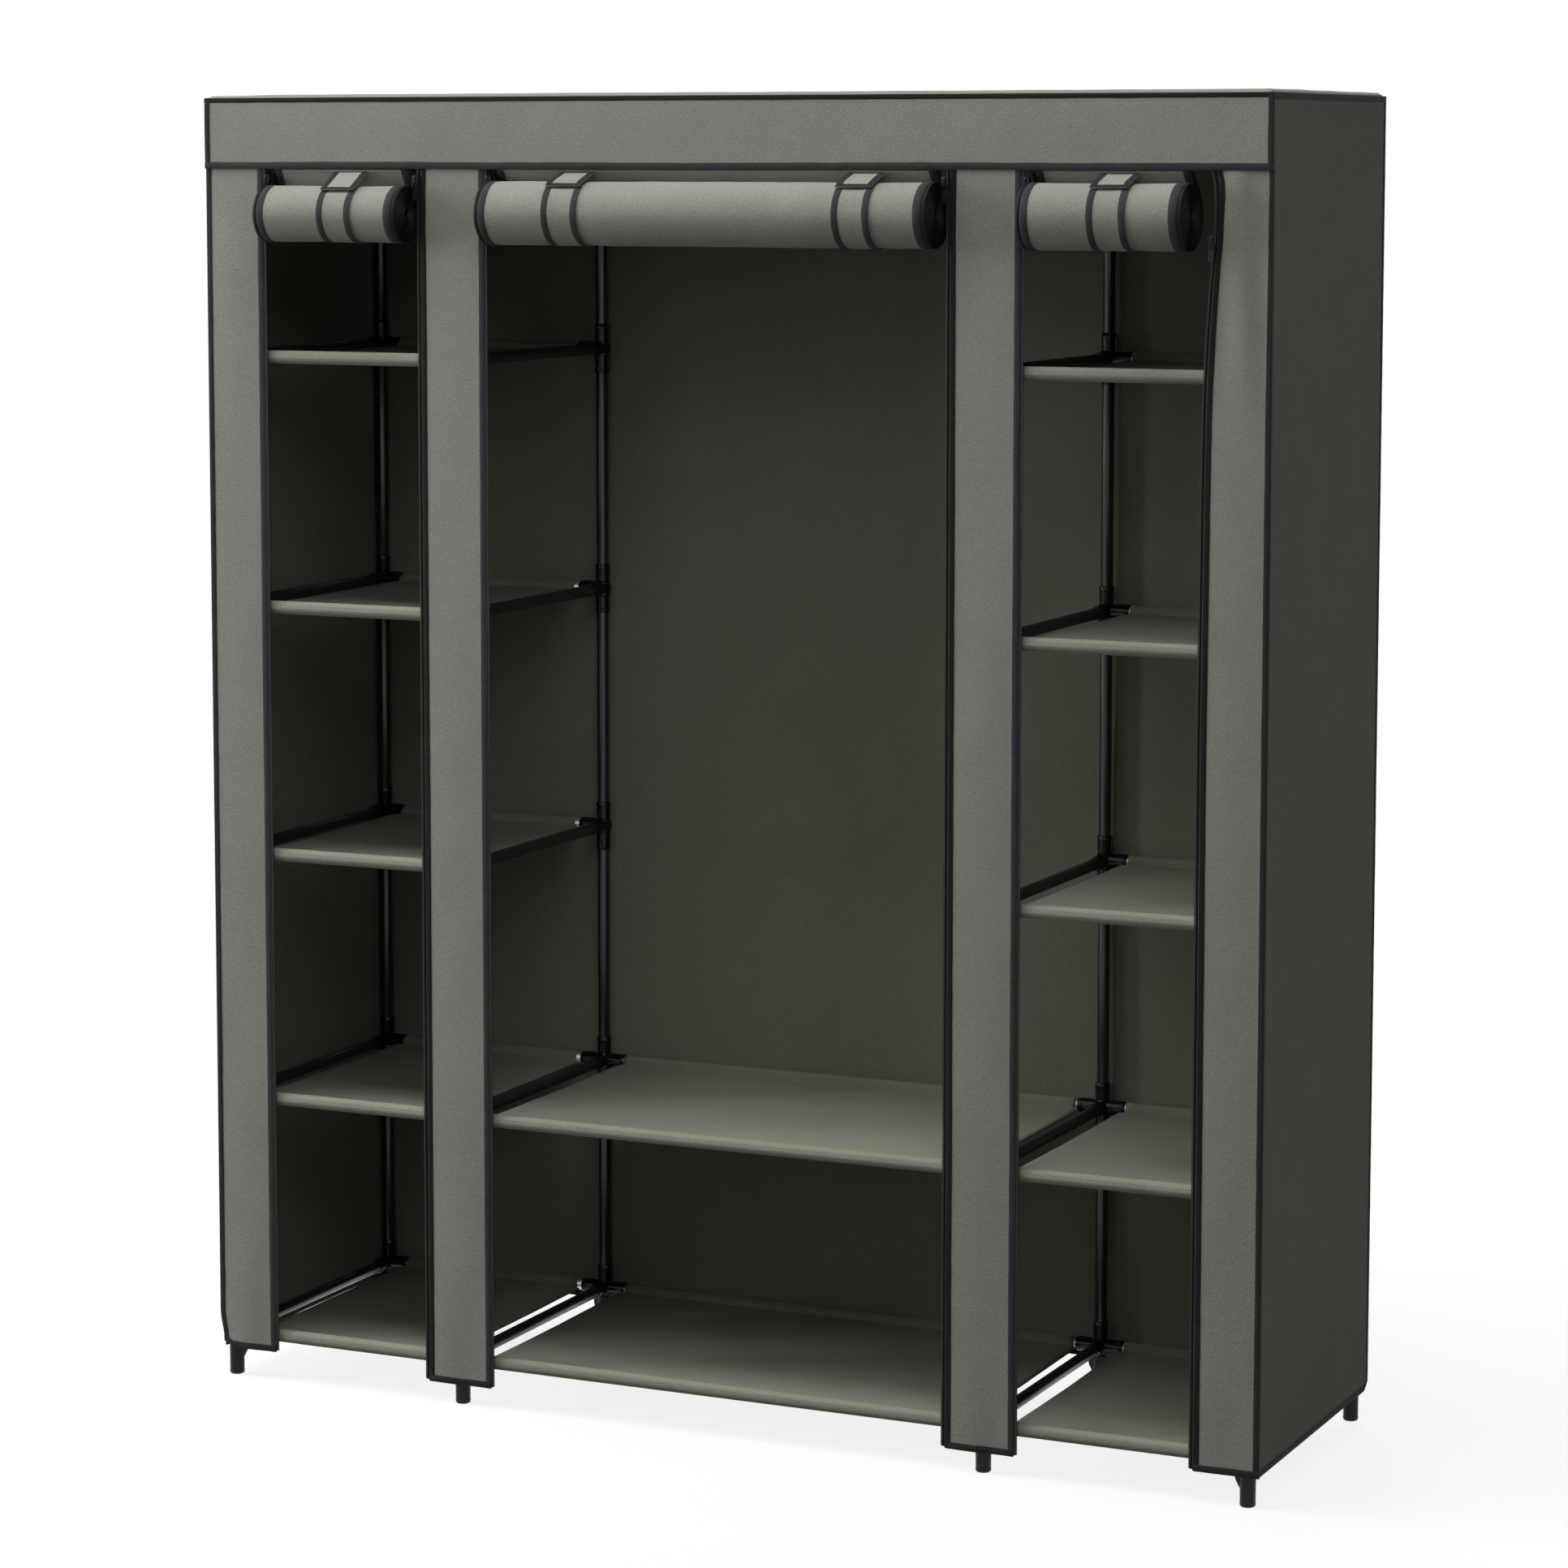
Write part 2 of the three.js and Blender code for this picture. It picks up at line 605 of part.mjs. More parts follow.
function frontStrip(strip) {
  const { left, right, hemZ } = strip;
  const hemTop = hemZ + TAPE_WIDTH;
  const upTo = (z) => [[left.x, hemZ], [right.x, hemZ], [edgeX(right, z), z], [edgeX(left, z), z]];
  const added = [
    sheetXZ(upTo(stripTopZ), stripPlaneY, CLOTH),
    sheetXZ(upTo(hemTop), stripPlaneY, TAPE_THICKNESS),
  ];
  for (const edge of [left, right]) {
    const width = edge.inward * (edge.zip ? BEAD_WIDTH : TAPE_WIDTH);
    const thickness = edge.zip ? BEAD_THICKNESS : TAPE_THICKNESS;
    const top = edgeX(edge, trimTopZ);
    const trim = [[edge.x, hemZ], [edge.x + width, hemZ], [top + width, trimTopZ], [top, trimTopZ]];
    added.push(sheetXZ(trim, stripPlaneY, thickness));
  }
  return build(added);
}

for (const strip of strips) {
  addPart(strip.name, frontStrip(strip), 'cover');
}

// Rolled doors

// The cloth hangs from the header's hem, slants back to the roll, goes under it and up its front,
// and winds inwards. Its pitch follows from the door's length, from the header to near the floor.
// Angles turn from +Y towards +Z.
function rollPath(radius, drop) {
  const hinge = new THREE.Vector2(stripPlaneY, headerHemZ - DOOR_HINGE_DROP);
  const centre = new THREE.Vector2(stripPlaneY - ROLL_FORWARD, headerHemZ - drop);
  const outer = radius - CLOTH / 2;
  const toHinge = hinge.clone().sub(centre);
  const startAngle = toHinge.angle() - Math.acos(outer / toHinge.length());
  const flapLength = Math.sqrt(toHinge.lengthSq() - outer * outer);
  const woundLength = headerHemZ - DOOR_FLOOR_GAP - flapLength;
  const pitch = Math.PI * (outer * outer - ROLL_CORE_RADIUS * ROLL_CORE_RADIUS) / woundLength;
  const turns = (outer - ROLL_CORE_RADIUS) / pitch;
  const outward = new THREE.Vector2(Math.cos(startAngle), Math.sin(startAngle));
  const down = new THREE.Vector2(outward.y, -outward.x);
  const onFlap = (distance, offset) => {
    const point = hinge.clone().addScaledVector(down, distance).addScaledVector(outward, offset);
    return [point.x, point.y];
  };
  const onRoll = (turn, offset) => {
    const angle = startAngle - turn * 2 * Math.PI;
    const reach = outer - pitch * turn + offset;
    return [centre.x + reach * Math.cos(angle), centre.y + reach * Math.sin(angle)];
  };
  // The tight turns round the core take wider steps.
  const stops = [];
  let turn = 0;
  while (turn < turns) {
    stops.push(turn);
    const isCore = outer - pitch * turn < CORE_TURNS_RADIUS;
    turn += 1 / (isCore ? CORE_STEPS_PER_TURN : STEPS_PER_TURN);
  }
  return { hinge, centre, outer, pitch, stops, onFlap, onRoll };
}

function rollOutline(path) {
  const half = CLOTH / 2;
  const outside = [path.onFlap(-DOOR_TOP_RISE, half), ...path.stops.map((turn) => path.onRoll(turn, half))];
  const inside = [path.onFlap(-DOOR_TOP_RISE, -half), ...path.stops.map((turn) => path.onRoll(turn, -half))];
  return [...inside, ...outside.reverse()];
}

// The least distance from a point of the cloth to a straight piece of it that lies half a turn or
// more away along the cloth, less the cloth's thickness.
function leastGap(path) {
  const points = path.stops.map((turn) => new THREE.Vector3(...path.onRoll(turn, 0), 0));
  const nearest = new THREE.Vector3();
  let least = Infinity;
  points.forEach((point, i) => {
    for (let j = 0; j + 1 < points.length; j += 1) {
      const apart = Math.min(...[j, j + 1].map((k) => Math.abs(path.stops[k] - path.stops[i])));
      if (apart >= 1 / 2) {
        new THREE.Line3(points[j], points[j + 1]).closestPointToPoint(point, true, nearest);
        least = Math.min(least, point.distanceTo(nearest));
      }
    }
  });
  return least - CLOTH;
}

function strapOutline(path) {
  const inner = CLOTH / 2 + STRAP_GAP;
  const outer = inner + STRAP_THICKNESS;
  const inside = [path.onFlap(STRAP_START, inner)];
  const outside = [path.onFlap(STRAP_START, outer)];
  for (let step = 0; step <= STRAP_STEPS; step += 1) {
    inside.push(path.onRoll(step / STEPS_PER_TURN, inner));
    outside.push(path.onRoll(step / STEPS_PER_TURN, outer));
  }
  return [...inside, ...outside.reverse()];
}

// A tab runs straight from its seam to where it meets the strap, then bends over the roll.
function tabPivot(path) {
  return new THREE.Vector2(path.hinge.x - TAB_BACK_OFFSET, path.hinge.y - TAB_DROP);
}

function tabOutline(path) {
  const pivot = tabPivot(path);
  const halfTab = TAB_THICKNESS / 2;
  const stack = CLOTH / 2 + STRAP_GAP + STRAP_THICKNESS + STRAP_GAP + halfTab;
  const reach = path.outer - path.pitch * TAB_REFERENCE_TURNS + stack;
  const toPivot = pivot.clone().sub(path.centre);
  const bendAngle = toPivot.angle() + Math.acos(reach / toPivot.length());
  const straight = Math.sqrt(toPivot.lengthSq() - reach * reach);
  const bend = Math.max(TAB_LENGTH - straight, 0) / reach;
  const at = (angle, distance) => [
    path.centre.x + distance * Math.cos(angle),
    path.centre.y + distance * Math.sin(angle),
  ];
  const upward = [Math.cos(bendAngle), Math.sin(bendAngle)];
  const above = [[pivot.x + upward[0] * halfTab, pivot.y + upward[1] * halfTab]];
  const below = [[pivot.x - upward[0] * halfTab, pivot.y - upward[1] * halfTab]];
  for (let step = 0; step <= TAB_ARC_STEPS; step += 1) {
    const angle = bendAngle + bend * step / TAB_ARC_STEPS;
    above.push(at(angle, reach + halfTab));
    below.push(at(angle, reach - halfTab));
  }
  return [...above, ...below.reverse()];
}

const doors = [
  {
    name: 'left',
    x0: -outerStripEdge + DOOR_SIDE_GAP,
    x1: -innerStripOuterEdge - DOOR_SIDE_GAP,
    path: rollPath(LEFT_ROLL_RADIUS, LEFT_ROLL_DROP),
    straps: [['left', LEFT_STRAP_SHARE]],
  },
  {
    name: 'middle',
    x0: -innerStripInnerEdge + DOOR_SIDE_GAP,
    x1: innerStripInnerEdge - DOOR_SIDE_GAP,
    path: rollPath(WIDE_ROLL_RADIUS, WIDE_ROLL_DROP),
    straps: [
      ['middle_left', MIDDLE_LEFT_STRAP_SHARE],
      ['middle_right', MIDDLE_RIGHT_STRAP_SHARE],
    ],
  },
  {
    name: 'right',
    x0: innerStripOuterEdge + DOOR_SIDE_GAP,
    x1: outerStripEdge - DOOR_SIDE_GAP,
    path: rollPath(WIDE_ROLL_RADIUS, WIDE_ROLL_DROP),
    straps: [['right', RIGHT_STRAP_SHARE]],
  },
];

for (const door of doors) {
  addPart(`rolled_door_${door.name}`, sheetYZ(rollOutline(door.path), door.x0, door.x1), 'door');
  console.log(`least gap of the ${door.name} roll to itself: ${leastGap(door.path).toFixed(2)} mm`);
  for (const [place, share] of door.straps) {
    const x = (door.x0 + door.x1) / 2 + share * (door.x1 - door.x0) / 2;
    const x0 = x - STRAP_WIDTH / 2;
    const x1 = x + STRAP_WIDTH / 2;
    addPart(`strap_loop_${place}`, sheetYZ(strapOutline(door.path), x0, x1), 'binding');
    addPart(`strap_tab_${place}`, sheetYZ(tabOutline(door.path), x0, x1), 'door');
  }
}

// Zip sliders and pulls, drawn about the slider's centre with the bridge towards -Y

const chamberHalf = BEAD_THICKNESS / 2 + BEAD_PLAY;
const slotHalf = CLOTH / 2 + BEAD_PLAY;
const plateHalf = chamberHalf + SLIDER_WALL;
const sliderHalfLength = SLIDER_LENGTH / 2;

// The bead lies midway between the slider's post and its lip.
const sliderOffset = (SLIDER_POST / 2 + SLIDER_WIDTH / 2 - SLIDER_LIP) / 2 - BEAD_WIDTH / 2;

// Two plates joined by a post, with lips that close round the bead of each tape.
function sliderSection() {
  const w = SLIDER_WIDTH / 2;
  const lip = w - SLIDER_LIP;
  const post = SLIDER_POST / 2;
  const half = [
    [w, -plateHalf],
    [w, -slotHalf],
    [lip, -slotHalf],
    [lip, -chamberHalf],
    [post, -chamberHalf],
    [post, chamberHalf],
    [lip, chamberHalf],
    [lip, slotHalf],
    [w, slotHalf],
    [w, plateHalf],
  ];
  const mirrored = half.map(([x, y]) => [-x, y]).reverse();
  return toShape([...half, ...mirrored]);
}

function sliderBody() {
  const extrusion = { depth: SLIDER_LENGTH, bevelEnabled: false };
  const section = new THREE.ExtrudeGeometry(sliderSection(), extrusion);
  section.translate(0, 0, -sliderHalfLength);
  const w = SLIDER_WIDTH / 2;
  const front = [
    [-w + SLIDER_TAPER, -sliderHalfLength],
    [w - SLIDER_TAPER, -sliderHalfLength],
    [w, sliderHalfLength - SLIDER_SHOULDER],
    [w - SLIDER_SHOULDER, sliderHalfLength],
    [-w + SLIDER_SHOULDER, sliderHalfLength],
    [-w, sliderHalfLength - SLIDER_SHOULDER],
  ];
  const outline = sheetXZ(front, 0, plateHalf * 2 + OVERRUN);
  const body = toSolid(section).intersect(toSolid(outline));
  const under = -plateHalf - BRIDGE_CLEAR;
  const halfBridge = BRIDGE_LENGTH / 2;
  const halfSpan = halfBridge - BRIDGE_LEG;
  const arch = [
    [-chamberHalf, -halfBridge],
    [-chamberHalf, -halfSpan],
    [under, -halfSpan],
    [under, halfSpan],
    [-chamberHalf, halfSpan],
    [-chamberHalf, halfBridge],
    [under, halfBridge],
    [under - BRIDGE_WALL, halfSpan],
    [under - BRIDGE_WALL, -halfSpan],
    [under, -halfBridge],
  ];
  const bridge = sheetYZ(arch, -BRIDGE_WIDTH / 2, BRIDGE_WIDTH / 2);
  const underBridge = block(-BRIDGE_WIDTH, BRIDGE_WIDTH, under, -plateHalf, -halfSpan, halfSpan);
  return toGeometry(body.add(toSolid(bridge).subtract(toSolid(underBridge))));
}

// The pull turns about the bar at its top, which lies under the bridge.
const pullAxisY = -plateHalf - BRIDGE_CLEAR / 2;
const barReach = Math.hypot(PULL_THICKNESS, PULL_THICKNESS) / 2;
const pullAxisZ = -BRIDGE_LENGTH / 2 + BRIDGE_LEG + barReach + PULL_PLAY;

function pullPlate() {
  const top = PULL_THICKNESS / 2;
  const halfEye = PULL_EYE_WIDTH / 2;
  const half = PULL_WIDTH / 2;
  const windowBottom = -top - PULL_WINDOW_LENGTH;
  const bottom = top - PULL_LENGTH;
  const outline = [
    [-halfEye, top],
    [-halfEye, windowBottom + PULL_CORNER],
    [-half, windowBottom - PULL_CORNER],
    [-half, bottom + PULL_CORNER],
    [-half + PULL_CORNER, bottom],
    [half - PULL_CORNER, bottom],
    [half, bottom + PULL_CORNER],
    [half, windowBottom - PULL_CORNER],
    [halfEye, windowBottom + PULL_CORNER],
    [halfEye, top],
  ];
  const halfWindow = PULL_WINDOW_WIDTH / 2;
  const hole = rectangle(-halfWindow, halfWindow, windowBottom, -top);
  return sheetXZ(outline, 0, PULL_THICKNESS, [hole]);
}

const zips = [
  { place: 'left_outer', edge: strips[0].right, drop: SLIDER_HEADER_GAP },
  { place: 'left_inner', edge: strips[1].left, drop: SLIDER_HEADER_GAP },
  { place: 'middle_left', edge: strips[1].right, drop: SLIDER_HEADER_GAP },
  { place: 'middle_right', edge: strips[2].left, drop: SLIDER_HEADER_GAP },
  { place: 'right_inner', edge: strips[2].right, drop: SLIDER_HEADER_GAP },
  { place: 'right_outer', edge: strips[3].left, drop: LOWERED_SLIDER_DROP },
];

for (const { place, edge, drop } of zips) {
  const z = headerHemZ - sliderHalfLength - drop;
  const lean = Math.atan2(edge.pull, headerHemZ - edge.hemZ);
  const x = edgeX(edge, z) - edge.inward * sliderOffset;
  const slider = addPart(`zip_slider_${place}`, sliderBody(), 'zip');
  slider.position.set(x, stripPlaneY, z);
  slider.rotation.y = lean;
  const pull = addPart(`zip_pull_${place}`, pullPlate(), 'zip');
  const axisX = x + pullAxisZ * Math.sin(lean);
  pull.position.set(axisX, stripPlaneY + pullAxisY, z + pullAxisZ * Math.cos(lean));
  pull.rotation.y = lean;
}

// The origin is on the floor, in the middle of the part's footprint.
const footprint = new THREE.Box3().setFromObject(parts);
parts.position.y = -(footprint.min.y + footprint.max.y) / 2;

const wardrobe = new THREE.Group();
wardrobe.add(parts);
wardrobe.updateMatrixWorld(true);

export default wardrobe;
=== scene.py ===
import math
import bpy
import bmesh
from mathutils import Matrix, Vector, noise


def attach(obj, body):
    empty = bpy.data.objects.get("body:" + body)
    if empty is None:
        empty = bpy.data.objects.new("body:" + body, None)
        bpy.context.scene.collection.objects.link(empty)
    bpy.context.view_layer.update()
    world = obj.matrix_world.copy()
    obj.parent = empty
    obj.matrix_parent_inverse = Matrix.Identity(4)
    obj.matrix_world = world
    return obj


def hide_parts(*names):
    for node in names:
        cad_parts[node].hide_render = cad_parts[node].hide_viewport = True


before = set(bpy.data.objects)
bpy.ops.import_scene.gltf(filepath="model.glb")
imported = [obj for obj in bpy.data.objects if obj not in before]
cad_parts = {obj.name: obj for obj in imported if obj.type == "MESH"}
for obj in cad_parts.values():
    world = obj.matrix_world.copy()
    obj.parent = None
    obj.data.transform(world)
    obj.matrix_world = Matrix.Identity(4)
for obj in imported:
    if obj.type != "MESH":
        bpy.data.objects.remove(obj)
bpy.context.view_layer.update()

scene = bpy.context.scene
ROOT = "frame_and_cover"
MM = 0.001

# Camera
CAMERA_PLACE = (2.4738, -5.3831, 1.6739)
CAMERA_DIP, CAMERA_TURN = 0.1051, 0.435
CAMERA_SHIFT = (0.017, -0.10)
LENS, SENSOR = 103.25, 36


def add_camera():
    data = bpy.data.cameras.new("camera")
    data.sensor_width = SENSOR
    data.lens = LENS
    data.shift_x, data.shift_y = CAMERA_SHIFT
    camera = bpy.data.objects.new("camera", data)
    camera.location = CAMERA_PLACE
    camera.rotation_euler = (math.pi / 2 - CAMERA_DIP, 0, CAMERA_TURN)
    scene.collection.objects.link(camera)
    scene.camera = camera


add_camera()

# Numbers
# How far apart the noise of two seeds lies
SEED_STEPS = (17.3, -9.1, 5.7)


def linear(r, g, b):
    """A screen colour of 0 to 255 as Blender's linear colour."""
    shares = [c / 255 for c in (r, g, b)]
    return tuple(((s + 0.055) / 1.055) ** 2.4 if s > 0.04045 else s / 12.92 for s in shares) + (1,)


def wave(x, y, z, size, seed=0):
    """Smooth noise from -1 to 1, with features about size across in the units of x, y and z."""
    return noise.noise(Vector([c / size + seed * step for c, step in zip((x, y, z), SEED_STEPS)]))


def along(table, at):
    """Straight lines through a table of (place, value)."""
    for (a, va), (b, vb) in zip(table, table[1:]):
        if at <= b:
            return va + (vb - va) * max(0, at - a) / (b - a)
    return table[-1][1]


def between(values, share):
    """The value at a share of the way through a list, in straight lines."""
    at = share * (len(values) - 1)
    i = min(int(at), len(values) - 2)
    return values[i] + (values[i + 1] - values[i]) * (at - i)


def steps(count, a=0.0, b=1.0):
    return [a + (b - a) * i / count for i in range(count + 1)]


def smooth(t):
    """Rises smoothly from 0 to 1 as t does, and stays there."""
    t = max(0, min(1, t))
    return t * t * (3 - 2 * t)


def fade(t, reach):
    """1 at 0, falling smoothly to 0 at reach."""
    return smooth((reach - t) / reach)


def arch(t):
    """0 where t is 0 or 1, and 1 half-way."""
    return math.sin(math.pi * max(0, min(1, t)))


def bell(offset, width):
    return math.exp(-(offset / width) ** 2)


# Material nodes
def new_material(name):
    material = bpy.data.materials.new(name)
    material.use_nodes = True
    tree = material.node_tree
    shader = next(n for n in tree.nodes if n.type == "BSDF_PRINCIPLED")
    return material, tree, shader


def add(tree, kind, **settings):
    node = tree.nodes.new(kind)
    for key, value in settings.items():
        setattr(node, key, value)
    return node


def link(tree, source, target):
    tree.links.new(source, target)


def fill(node, values):
    for name, value in values.items():
        node.inputs[name].default_value = value


def math_node(tree, operation, *values):
    """A sum on numbers and on other nodes' outputs."""
    node = add(tree, "ShaderNodeMath", operation=operation)
    for value, target in zip(values, node.inputs):
        if isinstance(value, (int, float)):
            target.default_value = value
        else:
            link(tree, value, target)
    return node.outputs[0]


def noise_node(tree, where, scale, detail=2.0, roughness=0.5):
    """Noise with about scale features to the metre."""
    node = add(tree, "ShaderNodeTexNoise")
    fill(node, {"Scale": scale, "Detail": detail, "Roughness": roughness})
    link(tree, where, node.inputs["Vector"])
    return node.outputs["Fac"]


def map_range(tree, value, low, high, start=0.0, end=1.0):
    """Maps start to end of a value to low to high."""
    node = add(tree, "ShaderNodeMapRange")
    fill(node, {"From Min": start, "From Max": end, "To Min": low, "To Max": high})
    link(tree, value, node.inputs["Value"])
    return node.outputs["Result"]


def spread(tree, value, low, high):
    """Maps 0.3 to 0.7 of a noise, which is most of it, to low to high."""
    return map_range(tree, value, low, high, 0.3, 0.7)


def tinted(tree, colour, factor):
    """A colour made lighter and darker by a factor round 1."""
    node = add(tree, "ShaderNodeVectorMath", operation="SCALE")
    node.inputs[0].default_value = colour[:3]
    link(tree, factor, node.inputs["Scale"])
    return node.outputs[0]


def bump(tree, shader, height, distance, strength):
    node = add(tree, "ShaderNodeBump")
    fill(node, {"Strength": strength, "Distance": distance})
    link(tree, height, node.inputs["Height"])
    link(tree, node.outputs["Normal"], shader.inputs["Normal"])


# Materials
RIDGE_SLANT, RIDGE_STRETCH = (-0.3, 0.6, 0), (1, 1, 1.3)
TAPE_RIB_PITCH = 0.0011
STITCH_PITCH, STITCH_SHARE, THREAD = 0.0034, 0.74, 0.0007


def cloth_material(name, colour, grain=1.0):
    """Non-woven cloth: short slanting ridges pressed into it, fine fibres and faint blotches."""
    material, tree, shader = new_material(name)
    where = add(tree, "ShaderNodeTexCoord").outputs["Object"]
    slant = add(tree, "ShaderNodeMapping", vector_type="TEXTURE")
    fill(slant, {"Rotation": RIDGE_SLANT, "Scale": RIDGE_STRETCH})
    link(tree, where, slant.inputs["Vector"])
    ridges = noise_node(tree, slant.outputs[0], scale=570, detail=3, roughness=0.6)
    fibres = noise_node(tree, where, scale=1300, roughness=0.6)
    blotches = noise_node(tree, where, scale=11, detail=3)
    contrast = 0.17 * grain
    ridge_tone = spread(tree, ridges, 1 - contrast, 1 + contrast)
    tone = math_node(tree, "MULTIPLY", ridge_tone, spread(tree, blotches, 0.97, 1.03))
    tone = math_node(tree, "MULTIPLY", tone, spread(tree, fibres, 0.95, 1.05))
    link(tree, tinted(tree, colour, tone), shader.inputs["Base Color"])
    link(tree, spread(tree, ridges, 0.72, 0.9), shader.inputs["Roughness"])
    fill(shader, {"Sheen Weight": 0.05, "Sheen Roughness": 0.5, "Specular IOR Level": 0.12})
    height = math_node(tree, "ADD", ridges, math_node(tree, "MULTIPLY", fibres, 0.3))
    bump(tree, shader, height, distance=0.0008 * grain, strength=0.9)
    return material


def tape_material(name, colour, seam=6.3):
    """Binding tape: ribs across it and a line of stitches, seam mm in from its fold."""
    material, tree, shader = new_material(name)
    where = add(tree, "ShaderNodeTexCoord")
    parts = add(tree, "ShaderNodeSeparateXYZ")
    link(tree, where.outputs["UV"], parts.inputs[0])
    run, across = parts.outputs[0], parts.outputs[1]
    ribs = math_node(tree, "SINE", math_node(tree, "MULTIPLY", run, 2 * math.pi / TAPE_RIB_PITCH))
    rough = noise_node(tree, where.outputs["Object"], scale=420, detail=3, roughness=0.6)
    soft = noise_node(tree, where.outputs["Object"], scale=40)
    off = math_node(tree, "ABSOLUTE", math_node(tree, "SUBTRACT", across, seam * MM))
    line = math_node(tree, "LESS_THAN", off, THREAD / 2)
    beat = math_node(tree, "FRACT", math_node(tree, "DIVIDE", run, STITCH_PITCH))
    stitch = math_node(tree, "MULTIPLY", line, math_node(tree, "LESS_THAN", beat, STITCH_SHARE))
    tone = math_node(tree, "MULTIPLY", spread(tree, rough, 0.72, 1.3), spread(tree, soft, 0.88, 1.12))
    tone = math_node(tree, "ADD", tone, math_node(tree, "MULTIPLY", stitch, 0.45))
    link(tree, tinted(tree, colour, tone), shader.inputs["Base Color"])
    link(tree, spread(tree, rough, 0.62, 0.85), shader.inputs["Roughness"])
    fill(shader, {"Specular IOR Level": 0.12})
    height = math_node(tree, "ADD", math_node(tree, "MULTIPLY", ribs, 0.12), rough)
    height = math_node(tree, "ADD", height, math_node(tree, "MULTIPLY", stitch, 0.8))
    bump(tree, shader, height, distance=0.0006, strength=0.8)
    return material


def hard_material(name, colour, rough, scale, depth, metallic=0.0, coat=0.0, wear=0.25, specular=0.5):
    """Moulded plastic, paint or metal: fine texture, uneven gloss and faint handling marks. rough is the
    lowest and highest roughness, and scale and depth are those of the texture."""
    material, tree, shader = new_material(name)
    where = add(tree, "ShaderNodeTexCoord").outputs["Object"]
    fine = noise_node(tree, where, scale, detail=3)
    marks = noise_node(tree, where, scale=35, detail=4, roughness=0.6)
    worn = spread(tree, marks, 1 - wear, 1 + wear)
    tone = math_node(tree, "MULTIPLY", worn, spread(tree, fine, 0.94, 1.06))
    link(tree, tinted(tree, colour, tone), shader.inputs["Base Color"])
    link(tree, spread(tree, marks, *rough), shader.inputs["Roughness"])
    fill(shader, {"Metallic": metallic, "Specular IOR Level": specular})
    fill(shader, {"Coat Weight": coat, "Coat Roughness": 0.2})
    bump(tree, shader, fine, depth, strength=0.6)
    return material


CLOTH = cloth_material("cover_cloth_nonwoven", linear(138, 141, 132))
# The cover cloth with less blue: painted shade, the olive cast that the side panels show in shade.
SHADE_TINTED_SIDE_CLOTH = cloth_material("side_cloth_olive_painted_shade", linear(138, 141, 129))
# The cover cloth a little darker and with less blue: painted shade, the olive cast of the shelves in the
# shaded interior.
SHADE_TINTED_SHELF_CLOTH = cloth_material("shelf_cloth_olive_painted_shade", linear(135, 139, 124), grain=0.85)
# The cover cloth with less blue: painted shade, the olive cast of the back panel seen in shade inside.
SHADE_TINTED_BACK_CLOTH = cloth_material("back_cloth_olive_painted_shade", linear(137, 141, 126))
DOOR = cloth_material("door_cloth_nonwoven", linear(138, 141, 132))
TAPE = tape_material("binding_tape_charcoal", linear(51, 51, 54))
EDGE_TAPE = tape_material("binding_tape_dark", linear(38, 38, 41))
BLACK_TAPE = tape_material("binding_tape_black", linear(17, 17, 18), seam=4.6)
ZIP_TAPE = tape_material("zip_tape_black", linear(12, 12, 13))
COIL = hard_material("zip_coil_nylon", linear(44, 44, 46), (0.45, 0.65), 900, 0.0001, specular=0.25)
# The doors' half of each zip: the same coil as COIL, painted darker as shade for the dim spiral ends of the
# rolls.
SHADE_DARKENED_DOOR_COIL = hard_material("door_coil_nylon_painted_shade", linear(24, 24, 26), (0.5, 0.7), 900, 0.0001, specular=0.12)
TUBE = hard_material("tube_black_enamel", linear(31, 31, 36), (0.3, 0.42), 700, 0.00004,
                     coat=0.15, wear=0.15)
STEEL = hard_material("tube_bare_zinc", linear(205, 207, 205), (0.3, 0.45), 500, 0.00006, metallic=0.9)
PLASTIC = hard_material("connector_black_plastic", linear(19, 19, 21), (0.18, 0.3), 500, 0.00008,
                        coat=0.1, wear=0.15, specular=0.17)
METAL = hard_material("slider_black_lacquer", linear(20, 20, 22), (0.3, 0.42), 900, 0.00005,
                      specular=0.22)


# Meshes
def place(x, y, z):
    return Vector((x * MM, y * MM, z * MM))


def piece(name, points, faces, material, body=ROOT, slot=None, replaces=(), angle=35, uvs=None):
    """One visible piece. Edges that turn by more than angle degrees look sharp."""
    mesh = bpy.data.meshes.new(name)
    mesh.from_pydata([tuple(p) for p in points], [], faces)
    if uvs:
        layer = mesh.uv_layers.new(name="UVMap")
        for loop in mesh.loops:
            layer.data[loop.index].uv = uvs[loop.vertex_index]
    work = bmesh.new()
    work.from_mesh(mesh)
    bmesh.ops.recalc_face_normals(work, faces=work.faces)
    work.to_mesh(mesh)
    work.free()
    mesh.materials.append(material)
    mesh.shade_smooth()
    mesh.set_sharp_from_angle(angle=math.radians(angle))
    obj = bpy.data.objects.new(name, mesh)
    scene.collection.objects.link(obj)
    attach(obj, body)
    if replaces:
        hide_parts(*replaces)
    return obj


